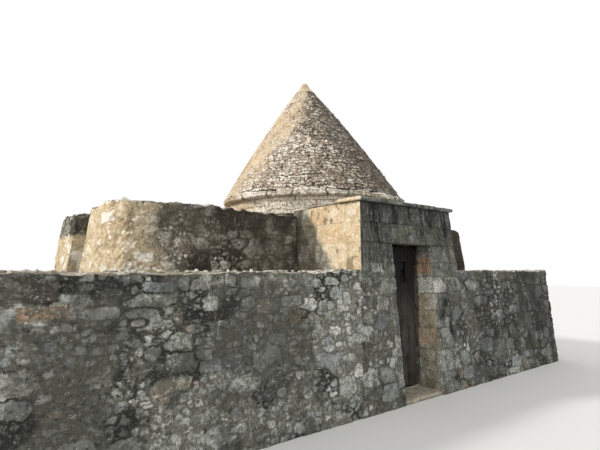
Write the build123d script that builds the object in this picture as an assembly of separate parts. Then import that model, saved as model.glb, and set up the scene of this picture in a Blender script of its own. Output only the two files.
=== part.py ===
from build123d import *
from math import atan, cos, degrees, pi, radians, sin
import os

# Trullo house: two stepped tiers of rubble masonry, a stone door portal and a corbelled cone.
# Millimetres. The origin is the middle of the ground outline, +Y runs into the building.

# Lower tier: a long battered platform of rubble walls round a rubble fill
lower_length = 9000
lower_depth = 5600
lower_height = 1580
lower_corner = 350
lower_wall = 600
fill_height = 1540
batter = 0.088

# Ledges between the two tiers, and the upper tier with its rounded corners
front_ledge = 1250
back_ledge = 1250
left_ledge = 1390
right_ledge = 610
upper_corner = 620
upper_wall = 450
upper_batter = 0.14
parapet_height = 2400
parapet_lip = 40

# Stair of solid steps, cut into the upper tier's left flank
stair_width = 620
stair_offset = -100
tread_depth = 260
first_tread_setback = 130
step_count = 3

# Portal: the squared-stone front that carries the door
portal_width = 2280
portal_rise = 5
cornice_thickness = 55
cornice_overhang = 35
cornice_depth = 380
portal_roof_thickness = 40
door_offset = -17
door_width = 734
door_height = 1914
reveal_depth = 390
passage_width = 960
lintel_height = 246
lintel_depth = 330
lintel_bearing = 250
threshold_height = 60
threshold_setback = 20
threshold_inner = 150

# Round room, its wall of straight-faced stones and the vault that closes it in corbelled courses
room_offset_x = 265
room_forward = 327
room_wall = 300
ring_footing = 120
drum_margin = 170
drum_rise = 235
ring_segments = 7
stones_round = 36
vault_steps = 2
vault_narrowing = 75
vault_lap = 35
eave_thickness = 110
eave_overhang = 185
eave_chamfer = 18
floor_thickness = 60

# Cone of stone courses above the eave, leaning a little to the left and back
cone_height = 1955
cap_height = 207
cone_setback = 40
cone_top_radius = 190
cone_bulge = 38
cone_vault_shelf = 410
cone_vault_top_radius = 85
cone_lean_x = -107
cone_lean_y = 91
courses_per_part = 6
course_step = 14
cone_parts = ("cone_lower_courses", "cone_middle_courses", "cone_upper_courses")
cap_inset = 12
knob_radius = 70
knob_height = 90
knob_shoulder = 85

# Door leaf of boards on ledges, hung on two iron pins
board_count = 5
board_thickness = 35
board_gap = 3
leaf_left_lap = 36
leaf_right_gap = 50
leaf_bottom_gap = 15
leaf_top_gap = 19
leaf_stop_gap = 5
ledge_height = 110
ledge_thickness = 25
ledge_inset = 25
ledge_edge = 6
low_ledge_level = 300
middle_ledge_level = 1000
high_ledge_level = 1640
strap_length = 470
strap_height = 42
strap_thickness = 6
hinge_reach = 18
pin_radius = 7.5
pin_clearance = 0.5
pin_rise = 26
pin_arm_height = 16
eye_lift = 1
eye_radius = 14
broken_board = 3
broken_bottom = 1430
broken_top = 1690
broken_width = 104

# Places worked out from the sizes above
front_y = -lower_depth / 2
upper_length = lower_length - left_ledge - right_ledge
upper_depth = lower_depth - front_ledge - back_ledge
upper_x = (left_ledge - right_ledge) / 2
upper_y = (front_ledge - back_ledge) / 2
upper_left = upper_x - upper_length / 2
upper_front = upper_y - upper_depth / 2
drum_radius = upper_depth / 2 - drum_margin
ring_radius = drum_radius + ring_footing
room_radius = ring_radius - room_wall
eave_radius = drum_radius + eave_overhang
cone_base_radius = eave_radius - cone_setback
cone_vault_radius = room_radius - cone_vault_shelf
stair_low = upper_y + stair_offset - stair_width / 2
stair_high = upper_y + stair_offset + stair_width / 2
stair_inner = upper_left + (step_count + 1) * tread_depth
terrace_height = parapet_height - parapet_lip
portal_middle = upper_x
portal_height = parapet_height + portal_rise
portal_back = upper_front + upper_wall
door_middle = portal_middle + door_offset
door_plane = front_y + reveal_depth
opening_left = door_middle - door_width / 2
opening_right = door_middle + door_width / 2
passage_left = door_middle - passage_width / 2
passage_right = door_middle + passage_width / 2
stop_plane = door_plane - leaf_stop_gap
sill_end = door_plane + threshold_inner
lintel_top = door_height + lintel_height
room_x = portal_middle + room_offset_x
room_y = upper_y - room_forward
eave_underside = parapet_height + drum_rise
cone_bottom = eave_underside + eave_thickness
cone_top = cone_bottom + cone_height
cone_tip = cone_top + cap_height
course_height = cone_height / (courses_per_part * len(cone_parts))


def block(x0, x1, y0, y1, z0, z1):
    """A plain block between two corners."""
    centre = Pos((x0 + x1) / 2, (y0 + y1) / 2, (z0 + z1) / 2)
    return centre * Box(x1 - x0, y1 - y0, z1 - z0)


def round_column(radius, z0, z1, x=room_x, y=room_y, top_radius=None, turn=0):
    """A many-sided column about the room's middle, as straight stones laid in a ring make it."""
    outline = Pos(x, y, z0) * Rot(0, 0, turn) * RegularPolygon(radius, stones_round)
    if top_radius is None:
        return extrude(outline, amount=z1 - z0)
    narrowing = (radius - top_radius) * cos(pi / stones_round)
    return extrude(outline, amount=z1 - z0, taper=degrees(atan(narrowing / (z1 - z0))))


def battered_mass(length, depth, corner, height, slope, x=0, y=0, z=0):
    """A mass of masonry with rounded corners whose faces lean inward as they rise."""
    outline = Pos(x, y, z) * RectangleRounded(length, depth, corner)
    return extrude(outline, amount=height, taper=degrees(atan(slope)))


def portal_mass(height):
    """The portal's outline: battered in front and at both sides, flat behind."""
    outline = Pos(portal_middle, 0) * Rectangle(portal_width, lower_depth)
    mass = extrude(outline, amount=height, taper=degrees(atan(batter)))
    return mass & block(-lower_length, lower_length, front_y, portal_back, 0, height)


def save(name, shape):
    """Write one sub-part to its own file."""
    export_step(shape, os.path.join("parts", name + ".step"))


def room_core():
    """Everything inside the round wall: the room and its ring, up to the terrace."""
    return round_column(ring_radius, 0, fill_height) + round_column(drum_radius, fill_height, cone_bottom)


def passage_air():
    """The door reveal and the wider passage behind the leaf, as one space."""
    reveal = block(opening_left, opening_right, 2 * front_y, door_plane, 0, door_height)
    return reveal + block(passage_left, passage_right, stop_plane, room_y, 0, door_height)


def lower_tier():
    """Rubble facing walls on four sides and the fill that the ledge is laid on."""
    mass = battered_mass(lower_length, lower_depth, lower_corner, lower_height, batter)
    inner_x = lower_length / 2 - lower_wall
    inner_y = lower_depth / 2 - lower_wall
    facing = mass - block(-inner_x, inner_x, -inner_y, inner_y, 0, lower_height)
    portal = portal_mass(portal_height)
    front = facing & block(-lower_length, lower_length, -lower_depth, -inner_y, 0, lower_height)
    front = front - portal
    save("lower_front_wall_left", front & half(-1))
    save("lower_front_wall_right", front & half(1))
    back = block(-lower_length, lower_length, inner_y, lower_depth, 0, lower_height)
    save("lower_back_wall", facing & back)
    left = block(-lower_length, -inner_x, -inner_y, inner_y, 0, lower_height)
    right = block(inner_x, lower_length, -inner_y, inner_y, 0, lower_height)
    save("lower_left_wall", facing & left)
    save("lower_right_wall", facing & right)
    fill = block(-inner_x, inner_x, -inner_y, inner_y, 0, fill_height) - portal - room_core()
    save("ledge_fill_left", fill & half(-1, room_x))
    save("ledge_fill_right", fill & half(1, room_x))


def half(side, middle=portal_middle):
    """A large block on one side of a plane across the building's length."""
    reach = side * lower_length
    low = min(middle, middle + reach)
    high = max(middle, middle + reach)
    return block(low, high, -lower_depth, lower_depth, 0, cone_tip)


def stair_air():
    """The stair well, open to the left flank and to the sky."""
    return block(-lower_length, stair_inner, stair_low, stair_high, fill_height, cone_tip)


def stair_step(number):
    """A solid stone step that rests on the ledge or on the step below it."""
    rise = (terrace_height - fill_height) / step_count
    start = upper_left + first_tread_setback + number * tread_depth
    base = fill_height + number * rise
    return block(start, stair_inner, stair_low, stair_high, base, base + rise)


def upper_tier():
    """Rounded, battered walls of the terrace with their fill and the stair."""
    rise = parapet_height - fill_height
    mass = battered_mass(
        upper_length, upper_depth, upper_corner, rise, upper_batter, upper_x, upper_y, fill_height,
    )
    low_x = upper_left + upper_wall
    high_x = upper_left + upper_length - upper_wall
    low_y = upper_front + upper_wall
    high_y = upper_front + upper_depth - upper_wall
    far = lower_length
    pocket = block(low_x, high_x, low_y, high_y, fill_height, parapet_height)
    facing = mass - pocket - portal_mass(portal_height) - room_core()
    front = facing & block(-far, far, -far, low_y, fill_height, parapet_height)
    save("upper_front_wall_left", front & half(-1))
    save("upper_front_wall_right", front & half(1))
    save("upper_back_wall", facing & block(-far, far, high_y, far, fill_height, parapet_height))
    save("upper_right_wall", facing & block(high_x, far, low_y, high_y, fill_height, parapet_height))
    flank = facing & block(-far, low_x, low_y, high_y, fill_height, parapet_height)
    save("upper_left_wall_front", flank & block(-far, far, low_y, stair_low, fill_height, parapet_height))
    save("upper_left_wall_rear", flank & block(-far, far, stair_high, high_y, fill_height, parapet_height))
    fill = block(low_x, high_x, low_y, high_y, fill_height, terrace_height)
    fill = fill - portal_mass(portal_height) - room_core() - stair_air()
    save("terrace_fill_left", fill & half(-1, room_x))
    save("terrace_fill_right", fill & half(1, room_x))
    for number in range(step_count):
        save("stair_step_" + str(number + 1), stair_step(number))


def portal():
    """Door piers, lintels, the course above them, the cornice and the portal's roof."""
    stone = portal_mass(portal_height) - room_core() - passage_air()
    beam = block(
        opening_left - lintel_bearing, opening_right + lintel_bearing,
        front_y, front_y + lintel_depth + batter * lintel_top, door_height, lintel_top,
    )
    over = block(passage_left, passage_right, front_y, room_y, door_height, lintel_top)
    below = block(-lower_length, lower_length, front_y, room_y, 0, lintel_top)
    piers = (stone & below) - beam - over
    save("portal_pier_left", piers & half(-1, door_middle))
    save("portal_pier_right", piers & half(1, door_middle))
    save("door_lintel", stone & beam)
    save("passage_lintel", (stone & over) - beam)
    top = block(-lower_length, lower_length, front_y, room_y, lintel_top, portal_height)
    save("portal_top_course", stone & top)
    save("portal_cornice", cornice())
    save("portal_roof", portal_roof())
    save("threshold", threshold())


def portal_top_outline(margin, back):
    """The portal's plan at its top, grown by a margin in front and at the sides."""
    setback = batter * portal_height
    low_x = portal_middle - portal_width / 2 + setback - margin
    high_x = portal_middle + portal_width / 2 - setback + margin
    return low_x, high_x, front_y + setback - margin, back


def cornice():
    """A thin projecting slab course along the portal's front edge."""
    x0, x1, y0, y1 = portal_top_outline(cornice_overhang, front_y + cornice_depth + batter * portal_height)
    slab = block(x0, x1, y0, y1, portal_height, portal_height + cornice_thickness)
    lower_edge = slab.edges().group_by(Axis.Z)[0].sort_by(Axis.Y)[0]
    return chamfer(lower_edge, cornice_overhang / 3)


def portal_roof():
    """Paving slabs behind the cornice, up to the drum."""
    x0, x1, y0, y1 = portal_top_outline(0, upper_front)
    start = front_y + cornice_depth + batter * portal_height
    slab = block(x0, x1, start, y1, portal_height, portal_height + portal_roof_thickness)
    return slab - room_core()


def threshold():
    """The door sill, between the piers."""
    start = front_y + threshold_setback
    sill = block(opening_left, opening_right, start, stop_plane, 0, threshold_height)
    return sill + block(passage_left, passage_right, stop_plane, sill_end, 0, threshold_height)


def sector(start, stop):
    """A wedge of the plan between two bearings about the room's middle, from the ground up."""
    middle = (start + stop) / 2
    spread = 2 * ring_radius
    points = [(0, 0)]
    for bearing in (start, middle, stop):
        points.append((spread * cos(radians(bearing)), spread * sin(radians(bearing))))
    outline = Pos(room_x, room_y) * make_face(Polyline(*points, close=True))
    return extrude(outline, amount=fill_height)


def room_walls():
    """The round wall in segments, open in front where the passage comes in."""
    ring = round_column(ring_radius, 0, fill_height) - round_column(room_radius, 0, fill_height)
    ring = ring - block(passage_left, passage_right, -lower_depth, room_y, 0, fill_height)
    first = -90 + degrees(atan((passage_right - room_x) / room_radius))
    last = 270 - degrees(atan((room_x - passage_left) / room_radius))
    turn = (last - first) / ring_segments
    for number in range(ring_segments):
        start = first + number * turn if number else -90
        stop = first + (number + 1) * turn if number < ring_segments - 1 else 270
        save("room_wall_" + str(number + 1), ring & sector(start, stop))


def vault_ring(base, top, widest):
    """Corbelled courses of the room's vault, each reaching further in than the one below."""
    ring = round_column(drum_radius, base, top)
    rise = (top - base) / vault_steps
    for step in range(vault_steps):
        start = base + step * rise
        ring = ring - round_column(widest - step * vault_narrowing, start, start + rise)
    return ring


def vault():
    """The vault's courses beside the passage, and those that run over it up to the terrace."""
    opening = block(passage_left, passage_right, -lower_depth, room_y, fill_height, door_height)
    first = room_radius - vault_lap
    save("vault_side_courses", vault_ring(fill_height, door_height, first) - opening)
    second = first - vault_steps * vault_narrowing
    save("vault_base_courses", vault_ring(door_height, parapet_height, second))


def drum():
    """The low round wall that shows above the terrace."""
    inner = room_radius - 2 * vault_lap - (2 * vault_steps - 1) * vault_narrowing
    return round_column(drum_radius, parapet_height, eave_underside) - round_column(
        inner, parapet_height, eave_underside,
    )


def eave():
    """The projecting ring of flat stones under the cone."""
    slab = round_column(eave_radius, eave_underside, cone_bottom)
    ring = chamfer(slab.edges().group_by(Axis.Z)[0] + slab.edges().group_by(Axis.Z)[-1], eave_chamfer)
    return ring - round_column(cone_vault_radius + vault_lap, eave_underside, cone_bottom)


def cone_radius(height):
    """Outer radius of the cone at a height, slightly bulging halfway up."""
    share = (height - cone_bottom) / (cone_top - cone_bottom)
    straight = cone_base_radius + (cone_top_radius - cone_base_radius) * share
    return straight + 4 * cone_bulge * share * (1 - share)


def lean(height):
    """The middle of the cone's plan at a height."""
    share = (height - cone_bottom) / (cone_tip - cone_bottom)
    return room_x + cone_lean_x * share, room_y + cone_lean_y * share


def cone_part(number):
    """A band of stepped courses, each set back from the one below, with a corbelled inside."""
    solid = None
    for row in range(courses_per_part):
        base = cone_bottom + (number * courses_per_part + row) * course_height
        x, y = lean(base)
        narrow = cone_radius(base + course_height) + course_step
        turn = (row % 2) * 180 / stones_round
        course = round_column(cone_radius(base), base, base + course_height, x, y, narrow, turn)
        solid = course if solid is None else solid + course
    for row in range(0, courses_per_part, 2):
        base = cone_bottom + (number * courses_per_part + row) * course_height
        share = (base - cone_bottom) / cone_height
        x, y = lean(base)
        radius = cone_vault_radius + (cone_vault_top_radius - cone_vault_radius) * share
        solid = solid - round_column(radius, base, base + 2 * course_height, x, y)
    return solid


def cone_cap():
    """The capstone: a sloping collar under a blunt tip."""
    x, y = lean(cone_top)
    collar_top = cone_tip - knob_height
    tip_start = cone_tip - knob_height / 2
    collar = round_column(cone_top_radius - cap_inset, cone_top, collar_top, x, y, knob_shoulder)
    neck = round_column(knob_shoulder, collar_top, tip_start, x, y, knob_radius)
    return collar + neck + round_column(knob_radius, tip_start, cone_tip, x, y, knob_radius / 2)


def room_floor():
    """Flagstones inside the round wall and along the passage."""
    disc = round_column(room_radius, 0, floor_thickness)
    return disc + block(passage_left, passage_right, sill_end, room_y, 0, floor_thickness)


def leaf_span():
    """Left and right edges of the door leaf."""
    return opening_left - leaf_left_lap, opening_right - leaf_right_gap


def hinge_axis():
    """Plan position of the hinge pins."""
    left, right = leaf_span()
    return left - hinge_reach, door_plane + board_thickness + ledge_thickness + strap_thickness / 2


def door_boards():
    """Upright boards; one has lost a length near its top."""
    left, right = leaf_span()
    pitch = (right - left + board_gap) / board_count
    bottom = threshold_height + leaf_bottom_gap
    top = door_height - leaf_top_gap
    boards = []
    for number in range(board_count):
        x0 = left + number * pitch
        x1 = x0 + pitch - board_gap
        back = door_plane + board_thickness
        board = block(x0, x1, door_plane, back, bottom, top)
        if number == broken_board:
            board = board - block(x0, x0 + broken_width, door_plane, back, broken_bottom, broken_top)
        boards.append(board)
    return Compound(boards)


def door_ledges():
    """Three cross battens on the back of the boards."""
    left, right = leaf_span()
    start = door_plane + board_thickness
    ledges = []
    for level in (low_ledge_level, middle_ledge_level, high_ledge_level):
        low = level - ledge_height / 2
        ledge = block(
            left + ledge_inset, right - ledge_inset, start, start + ledge_thickness, low, low + ledge_height,
        )
        ledges.append(chamfer(ledge.edges().group_by(Axis.Y)[-1], ledge_edge))
    return Compound(ledges)


def iron_rod(radius, z0, z1):
    """A turned length of iron on the hinge axis."""
    x, y = hinge_axis()
    return Pos(x, y, (z0 + z1) / 2) * Cylinder(radius, z1 - z0)


def strap(level):
    """An iron strap with an eye that turns on its pin."""
    x, y = hinge_axis()
    low = level - strap_height / 2
    high = level + strap_height / 2
    plate = block(x, x + strap_length, y - strap_thickness / 2, y + strap_thickness / 2, low, high)
    return plate + iron_rod(eye_radius, low, high) - iron_rod(pin_radius + pin_clearance, low, high)


def door_straps():
    """Both strap hinges."""
    return Compound([strap(level) for level in (low_ledge_level, high_ledge_level)])


def pintle(level):
    """A pin on an arm that is let into the pier."""
    x, y = hinge_axis()
    seat = level - strap_height / 2 - eye_lift
    arm = block(passage_left, x + eye_radius, y - pin_radius, y + pin_radius, seat - pin_arm_height, seat)
    return iron_rod(pin_radius, seat - pin_arm_height, level + pin_rise) + arm


def door_pintles():
    """Both hinge pins."""
    return Compound([pintle(level) for level in (low_ledge_level, high_ledge_level)])


def build():
    """Write every sub-part."""
    os.makedirs("parts", exist_ok=True)
    lower_tier()
    upper_tier()
    portal()
    room_walls()
    vault()
    save("drum_wall", drum())
    save("eave_course", eave())
    for number, name in enumerate(cone_parts):
        save(name, cone_part(number))
    save("cone_cap", cone_cap())
    save("room_floor", room_floor())
    save("door_boards", door_boards())
    save("door_ledges", door_ledges())
    save("door_straps", door_straps())
    save("door_pintles", door_pintles())


build()
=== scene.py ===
"""Trullo house: weathered stone surfaces, the old door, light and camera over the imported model.

Metres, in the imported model's frame: +X runs to the right along the front, +Y into the building, +Z up.
"""

from math import ceil, cos, pi, radians, sin
from types import SimpleNamespace

import bmesh
import bpy
import numpy as np
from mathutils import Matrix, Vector


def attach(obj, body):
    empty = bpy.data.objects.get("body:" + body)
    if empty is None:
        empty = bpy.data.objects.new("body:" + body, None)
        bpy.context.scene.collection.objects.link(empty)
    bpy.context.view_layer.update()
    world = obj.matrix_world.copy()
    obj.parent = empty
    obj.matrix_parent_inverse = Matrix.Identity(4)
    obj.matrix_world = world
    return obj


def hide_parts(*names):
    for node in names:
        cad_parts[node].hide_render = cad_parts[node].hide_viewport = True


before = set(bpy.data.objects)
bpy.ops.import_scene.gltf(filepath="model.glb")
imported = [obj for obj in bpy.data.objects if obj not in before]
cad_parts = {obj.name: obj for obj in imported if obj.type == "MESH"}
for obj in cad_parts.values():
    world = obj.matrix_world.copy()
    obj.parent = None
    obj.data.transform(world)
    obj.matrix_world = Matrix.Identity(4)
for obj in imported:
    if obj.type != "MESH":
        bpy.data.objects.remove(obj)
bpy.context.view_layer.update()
COARSE = 1.0

# The building's plan and levels
FRONT, BACK, LEFT, RIGHT = -2.8, 2.8, -4.5, 4.5
WALL_TOP, LEDGE = 1.58, 1.54
BATTER, UPPER_BATTER = 0.088, 0.14
UPPER_FRONT, UPPER_BACK, UPPER_LEFT, UPPER_RIGHT = -1.55, 1.55, -3.11, 3.89
PARAPET, TERRACE = 2.40, 2.36
STAIR_LOW, STAIR_HIGH, STAIR_END = -0.41, 0.21, -2.07
PORTAL_LEFT, PORTAL_RIGHT, PORTAL_TOP, PORTAL_BACK = -0.75, 1.53, 2.405, -1.10
JAMB_LEFT, JAMB_RIGHT, PASSAGE_LEFT, PASSAGE_RIGHT = 0.006, 0.740, -0.107, 0.853
DOOR_HEAD, LINTEL_TOP, DOOR_PLANE = 1.914, 2.16, -2.41
ROOM = (0.655, -0.327)
DRUM_RADIUS, EAVE_RADIUS, EAVE_LOW, CONE_LOW, CONE_HIGH, TIP = 1.38, 1.565, 2.635, 2.745, 4.70, 4.907
# Rectangles inside the walls' tops, and where the stair's cheeks and the lintel end
INNER_LOW, INNER_HIGH = (LEFT + 0.6, FRONT + 0.6), (RIGHT - 0.6, BACK - 0.6)
UPPER_LOW, UPPER_HIGH = (UPPER_LEFT + 0.45, UPPER_FRONT + 0.45), (UPPER_RIGHT - 0.45, UPPER_BACK - 0.45)
FLANK, LINTEL_BACK = UPPER_LOW[0], -2.28
# The curves in the plan of the lower and the upper tier's corners, and how far a wall's top heaves
LOWER_CURVE, UPPER_CURVE, HEAVE = 0.35, 0.62, 0.045
# The cone's outside radius at its foot, how much it loses to the top, its swelling and how its tip is moved
CONE_FOOT, NARROWING, SWELLING, LEAN = 1.525, 1.335, 0.038, (-0.107, 0.091)
# The inside radius of the cone's hollow at its foot and at its top
HOLLOW_FOOT, HOLLOW_TOP = 0.79, 0.085
# Rows from this one up belong to stones at given places
GIVEN_ROW = 9000


# Random fields worked out on whole arrays

def hashed(*keys):
    """Numbers spread evenly over 0..1, one for each set of whole-number keys."""
    total = np.zeros(1, dtype=np.uint32)
    for key, odd in zip(keys, (0x9E3779B1, 0x85EBCA77, 0xC2B2AE3D, 0x27D4EB2F)):
        whole = (np.asarray(key).astype(np.int64) & 0xFFFFFFFF).astype(np.uint32)
        total = (total ^ whole) * np.uint32(odd)
        total = total ^ (total >> np.uint32(15))
    total = total * np.uint32(0x2C1B3C6D)
    total = total ^ (total >> np.uint32(12))
    total = total * np.uint32(0x297A2D39)
    return (total ^ (total >> np.uint32(15))).astype(float) / 2 ** 32


def ease(value, low=0.0, high=1.0):
    """0 below low, 1 above high, and 3t^2 - 2t^3 between them."""
    t = np.clip((value - low) / (high - low), 0, 1)
    return t * t * (3 - 2 * t)


def drift(x, y, z, seed):
    """Smooth noise from -1 to 1: random numbers at whole-number points, eased between along each axis."""
    low = [np.floor(a) for a in (x, y, z)]
    part = [ease(a - b) for a, b in zip((x, y, z), low)]
    total = 0
    for i in (0, 1):
        for j in (0, 1):
            for k in (0, 1):
                weight = 1
                for t, side in zip(part, (i, j, k)):
                    weight = weight * (t if side else 1 - t)
                total = total + weight * hashed(low[0] + i, low[1] + j, low[2] + k, seed)
    return 2 * total - 1


def rough(place, size, layers, seed):
    """Layers of smooth noise, the first as coarse as size, each next half as coarse and half as strong."""
    total = 0
    for layer in range(layers):
        scale = 2 ** layer / size
        total = total + 0.5 ** layer * drift(*(place[..., a] * scale + 17.3 * layer for a in range(3)), seed + layer)
    return total / 1.6


class Grid:
    """A face's points: the ways u along it and v up it, places x, y, z and outward directions nx, ny, nz."""

    def __init__(self, u, v, place, facing):
        self.u, self.v = (np.broadcast_to(a, place.shape[:2]) for a in (u, v))
        self.place, self.facing = place, facing
        self.x, self.y, self.z = (place[..., a] for a in range(3))
        self.nx, self.ny, self.nz = (facing[..., a] for a in range(3))

    def rough(self, size, layers, seed):
        """Layered noise at the points."""
        return rough(self.place, size, layers, seed)

    def ragged(self, seed, large=0.035, small=0.012):
        """A sideways shift for a stone's outline: coarse bends plus fine ones."""
        return large * self.rough(0.24, 3, seed) + small * self.rough(0.06, 2, seed + 1)

    def opened(self, seed, share):
        """Where the joints have lost their mortar: patches of layered noise, wider for a larger share."""
        return ease(self.rough(0.4, 4, seed) + share - 0.5, -0.25, 0.4)

    def belly(self, amount, seed):
        """The wall's own unevenness, up to 1.3 times the amount inward."""
        coarse, fine = (0.5 + 0.5 * self.rough(size, layers, seed) for size, layers in ((0.8, 3), (0.16, 2)))
        return -amount * coarse - 0.3 * amount * fine

    def laid(self, laying):
        """The points moved along their outward directions by the laying's depth, and the looks it gives."""
        depth, f = laying(self)
        looks = {name: np.broadcast_to(values, self.u.shape) for name, values in vars(f).items()}
        return self.place + self.facing * depth[..., None], looks


def field_stones(u, v, course, length, seed, square):
    """Field stones laid in loose courses.

    Their middles stand in rows, each moved at random. A point belongs to the stone whose distance is least,
    the p-norm of its offset in half stone sizes; what is left to the next stone gives the way to the joint.
    Returns that way, the stone's row and column, and the point's offset from its middle.
    """
    row = np.floor(v / course)
    first = second = np.full(u.shape, 99.0)
    nearest = [np.zeros(u.shape)] * 4
    for dr in (-2, -1, 0, 1, 2):
        r = row + dr
        pitch = length * (0.7 + 0.75 * hashed(r, 7, seed))
        shift = pitch * hashed(r, 11, seed)
        column = np.floor((u - shift) / pitch)
        for dc in (-1, 0, 1):
            c = column + dc
            size = 0.62 + 0.75 * hashed(r, c, seed + 3)
            du = u - shift - (c + 0.5 + 0.7 * (hashed(r, c, seed + 1) - 0.5)) * pitch
            dv = v - (r + 0.5 + 0.75 * (hashed(r, c, seed + 2) - 0.5)) * course
            tall = 0.8 + 0.5 * hashed(r, c, seed + 4)
            far = ((np.abs(du) / (0.5 * pitch * size)) ** square
                   + (np.abs(dv) / (0.5 * course * size * tall)) ** square) ** (1 / square)
            nearer = far < first
            second = np.where(nearer, first, np.minimum(second, far))
            first = np.where(nearer, far, first)
            nearest = [np.where(nearer, new, old) for new, old in zip((r, c, du, dv), nearest)]
    return (second - first) * 0.25 * course, *nearest


def squared_stones(u, v, edges, pitch, seed, wrap=10 ** 6, stretch=1.0, corner=0.012, uneven=0.5):
    """Squared stones in courses between the given edges.

    In a course the upright joints stand a pitch apart, each moved at random. The way to the joint is the
    lesser of the ways to the four sides, rounded at the corners. Returns what field_stones returns.
    """
    edges = np.asarray(edges)
    row = np.clip(np.searchsorted(edges, v, side="right") - 1, 0, len(edges) - 2)
    pitch, wrap = (np.broadcast_to(a, len(edges) - 1)[row] for a in (pitch, wrap))
    shift = pitch * hashed(row, 5, seed)

    def joint(c):
        return shift + (c + uneven * (hashed(row, np.mod(c, wrap), seed + 1) - 0.5)) * pitch

    column = np.floor((u - shift) / pitch)
    column = column - (u < joint(column)) + (u >= joint(column + 1))
    low, high = joint(column), joint(column + 1)
    side = np.minimum(u - low, high - u) * stretch
    level = np.minimum(v - edges[row], edges[row + 1] - v)
    gap = corner - np.hypot(np.maximum(corner - side, 0), np.maximum(corner - level, 0))
    gap = np.where((side > corner) & (level > corner), np.minimum(side, level), gap)
    return gap, row, np.mod(column, wrap), (u - (low + high) / 2) * stretch, v - (edges[row] + edges[row + 1]) / 2


def chosen(second, a, b):
    """Of two layings of stones the second where the first argument is true."""
    return [np.where(second, y, x) for x, y in zip(a, b)]


def mixed_stones(u, v, course, length, seed, share, square=2.6):
    """Large field stones, of which a share are made up of small ones that stay within the large one's outline."""
    large = field_stones(u, v, course, length, seed, square)
    small = field_stones(u, v, course * 0.47, length * 0.4, seed + 50, square)
    broken = hashed(large[1], large[2], seed + 60) < share
    return chosen(broken, large, (np.minimum(small[0], large[0] + 0.004), small[1] + 1000, *small[2:]))


def set_stones(stones, x, z, rows, where):
    """Stones at given places of a face, from rows of (middle x, z, half width, half height).

    The way inward from a stone's outline, a rounded rectangle of p-norm 4, is its way to the joint; outside,
    the way to its outline limits the neighbours'.
    """
    gap, *rest = stones
    for i, (at, level, wide, tall) in enumerate(rows):
        du, dv = x - at, z - level
        edge = (1 - (np.abs(du / wide) ** 4 + np.abs(dv / tall) ** 4) ** 0.25) * min(wide, tall)
        inside = where & (edge > 0)
        gap = np.where(where, np.minimum(np.where(inside, 1, gap), abs(edge)), gap)
        rest = chosen(inside, rest, (GIVEN_ROW + i, 0, du, dv))
    return gap, *rest


def plain(**looks):
    """Looks for a whole face or stone: the plain ones, except where others are given."""
    usual = dict(face=1.0, tone=0.5, kind=0.5, hollow=0.0, coat=0.0, warm=0.0, soot=0.0)
    return SimpleNamespace(**dict(usual, **looks))


def bedded(stones, seed, edge, depth, proud, tilt=0.05, hollow=1.0):
    """The relief and the looks of stones in their bed.

    The face rises from the joint with an eased edge. Each stone stands proud by its own amount and leans a
    little, so its depth changes evenly over it. Where hollow is 0 the joint is filled almost flush. Returns
    depth below the wall's face, and the stones' looks.
    """
    gap, row, column, across, up = stones
    tone, kind, lean_across, lean_up, stand = (hashed(row, column, seed + key) for key in range(21, 26))
    face = ease(gap, 0.002, edge)
    lean = (lean_across - 0.5) * across + (lean_up - 0.5) * up
    level = proud * (stand - 1) + np.clip(2 * tilt * lean, -0.012, 0.012)
    crown = 0.006 * (ease(gap, 0, 0.07) - 1)
    sunk = depth * (0.3 + 0.7 * hollow)
    return face * (level + crown) - sunk * (1 - face), plain(face=face, tone=tone, kind=kind, hollow=hollow)


# Meshes made from grids

def walk(corners, step, closed=False):
    """A way along plan corners: each point's place, move and outward direction, and its length so far.

    Corners are (x, y, radius, move x, move y, shrink), in an order that keeps the outside on the right; what
    is left out is 0. The move is the plan's shift for each metre of height, and a corner's arc also shrinks by
    its last number.
    """
    corners = [(*corner, *[0] * (6 - len(corner))) for corner in corners]
    spots = np.array(corners, float)[:, :2]
    ways = np.roll(spots, -1, axis=0) - spots
    ways /= np.maximum(np.linalg.norm(ways, axis=1), 1e-9)[:, None]
    after = np.stack([ways[:, 1], -ways[:, 0]], 1)
    before = np.roll(after, 1, axis=0)
    if not closed:
        before[0], after[-1] = after[0], before[-1]
    knots = []
    for (x, y, radius, mx, my, shrink), a, b in zip(corners, before, after):
        if radius == 0:
            knots.append((x, y, mx, my, *(a + b) / max(np.linalg.norm(a + b), 1e-9)))
            continue
        turn = np.arctan2(a[0] * b[1] - a[1] * b[0], a @ b)
        hand = 1 if turn > 0 else -1
        centre = (x, y) - hand * radius * (a + b) / (1 + a @ b)
        count = max(3, ceil(radius * abs(turn) / step))
        for angle in np.arctan2(a[1], a[0]) + turn * np.linspace(0, 1, count + 1):
            out = np.array([cos(angle), sin(angle)])
            knots.append((*centre + hand * radius * out, mx - shrink * out[0], my - shrink * out[1], *out))
    if closed:
        knots.append(knots[0])
    knots = np.array(knots)
    rows = []
    for a, b in zip(knots[:-1], knots[1:]):
        count = max(1, round(float(np.linalg.norm((b - a)[:2])) / step))
        rows.append(a + (b - a) * (np.arange(count) / count)[:, None])
    if not closed:
        rows.append(knots[-1:])
    way = np.concatenate(rows)
    length = np.cumsum(np.linalg.norm(np.diff(way[:, :2], axis=0), axis=1))
    out = way[:, 4:] / np.linalg.norm(way[:, 4:], axis=1)[:, None]
    return way[:, :2], way[:, 2:4], out, np.concatenate([[0], length])


def lifted(plan, z):
    """A grid's plan points or directions with their third coordinate."""
    return np.concatenate([plan, np.broadcast_to(np.asarray(z)[..., None], plan.shape[:2] + (1,))], -1)


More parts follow.
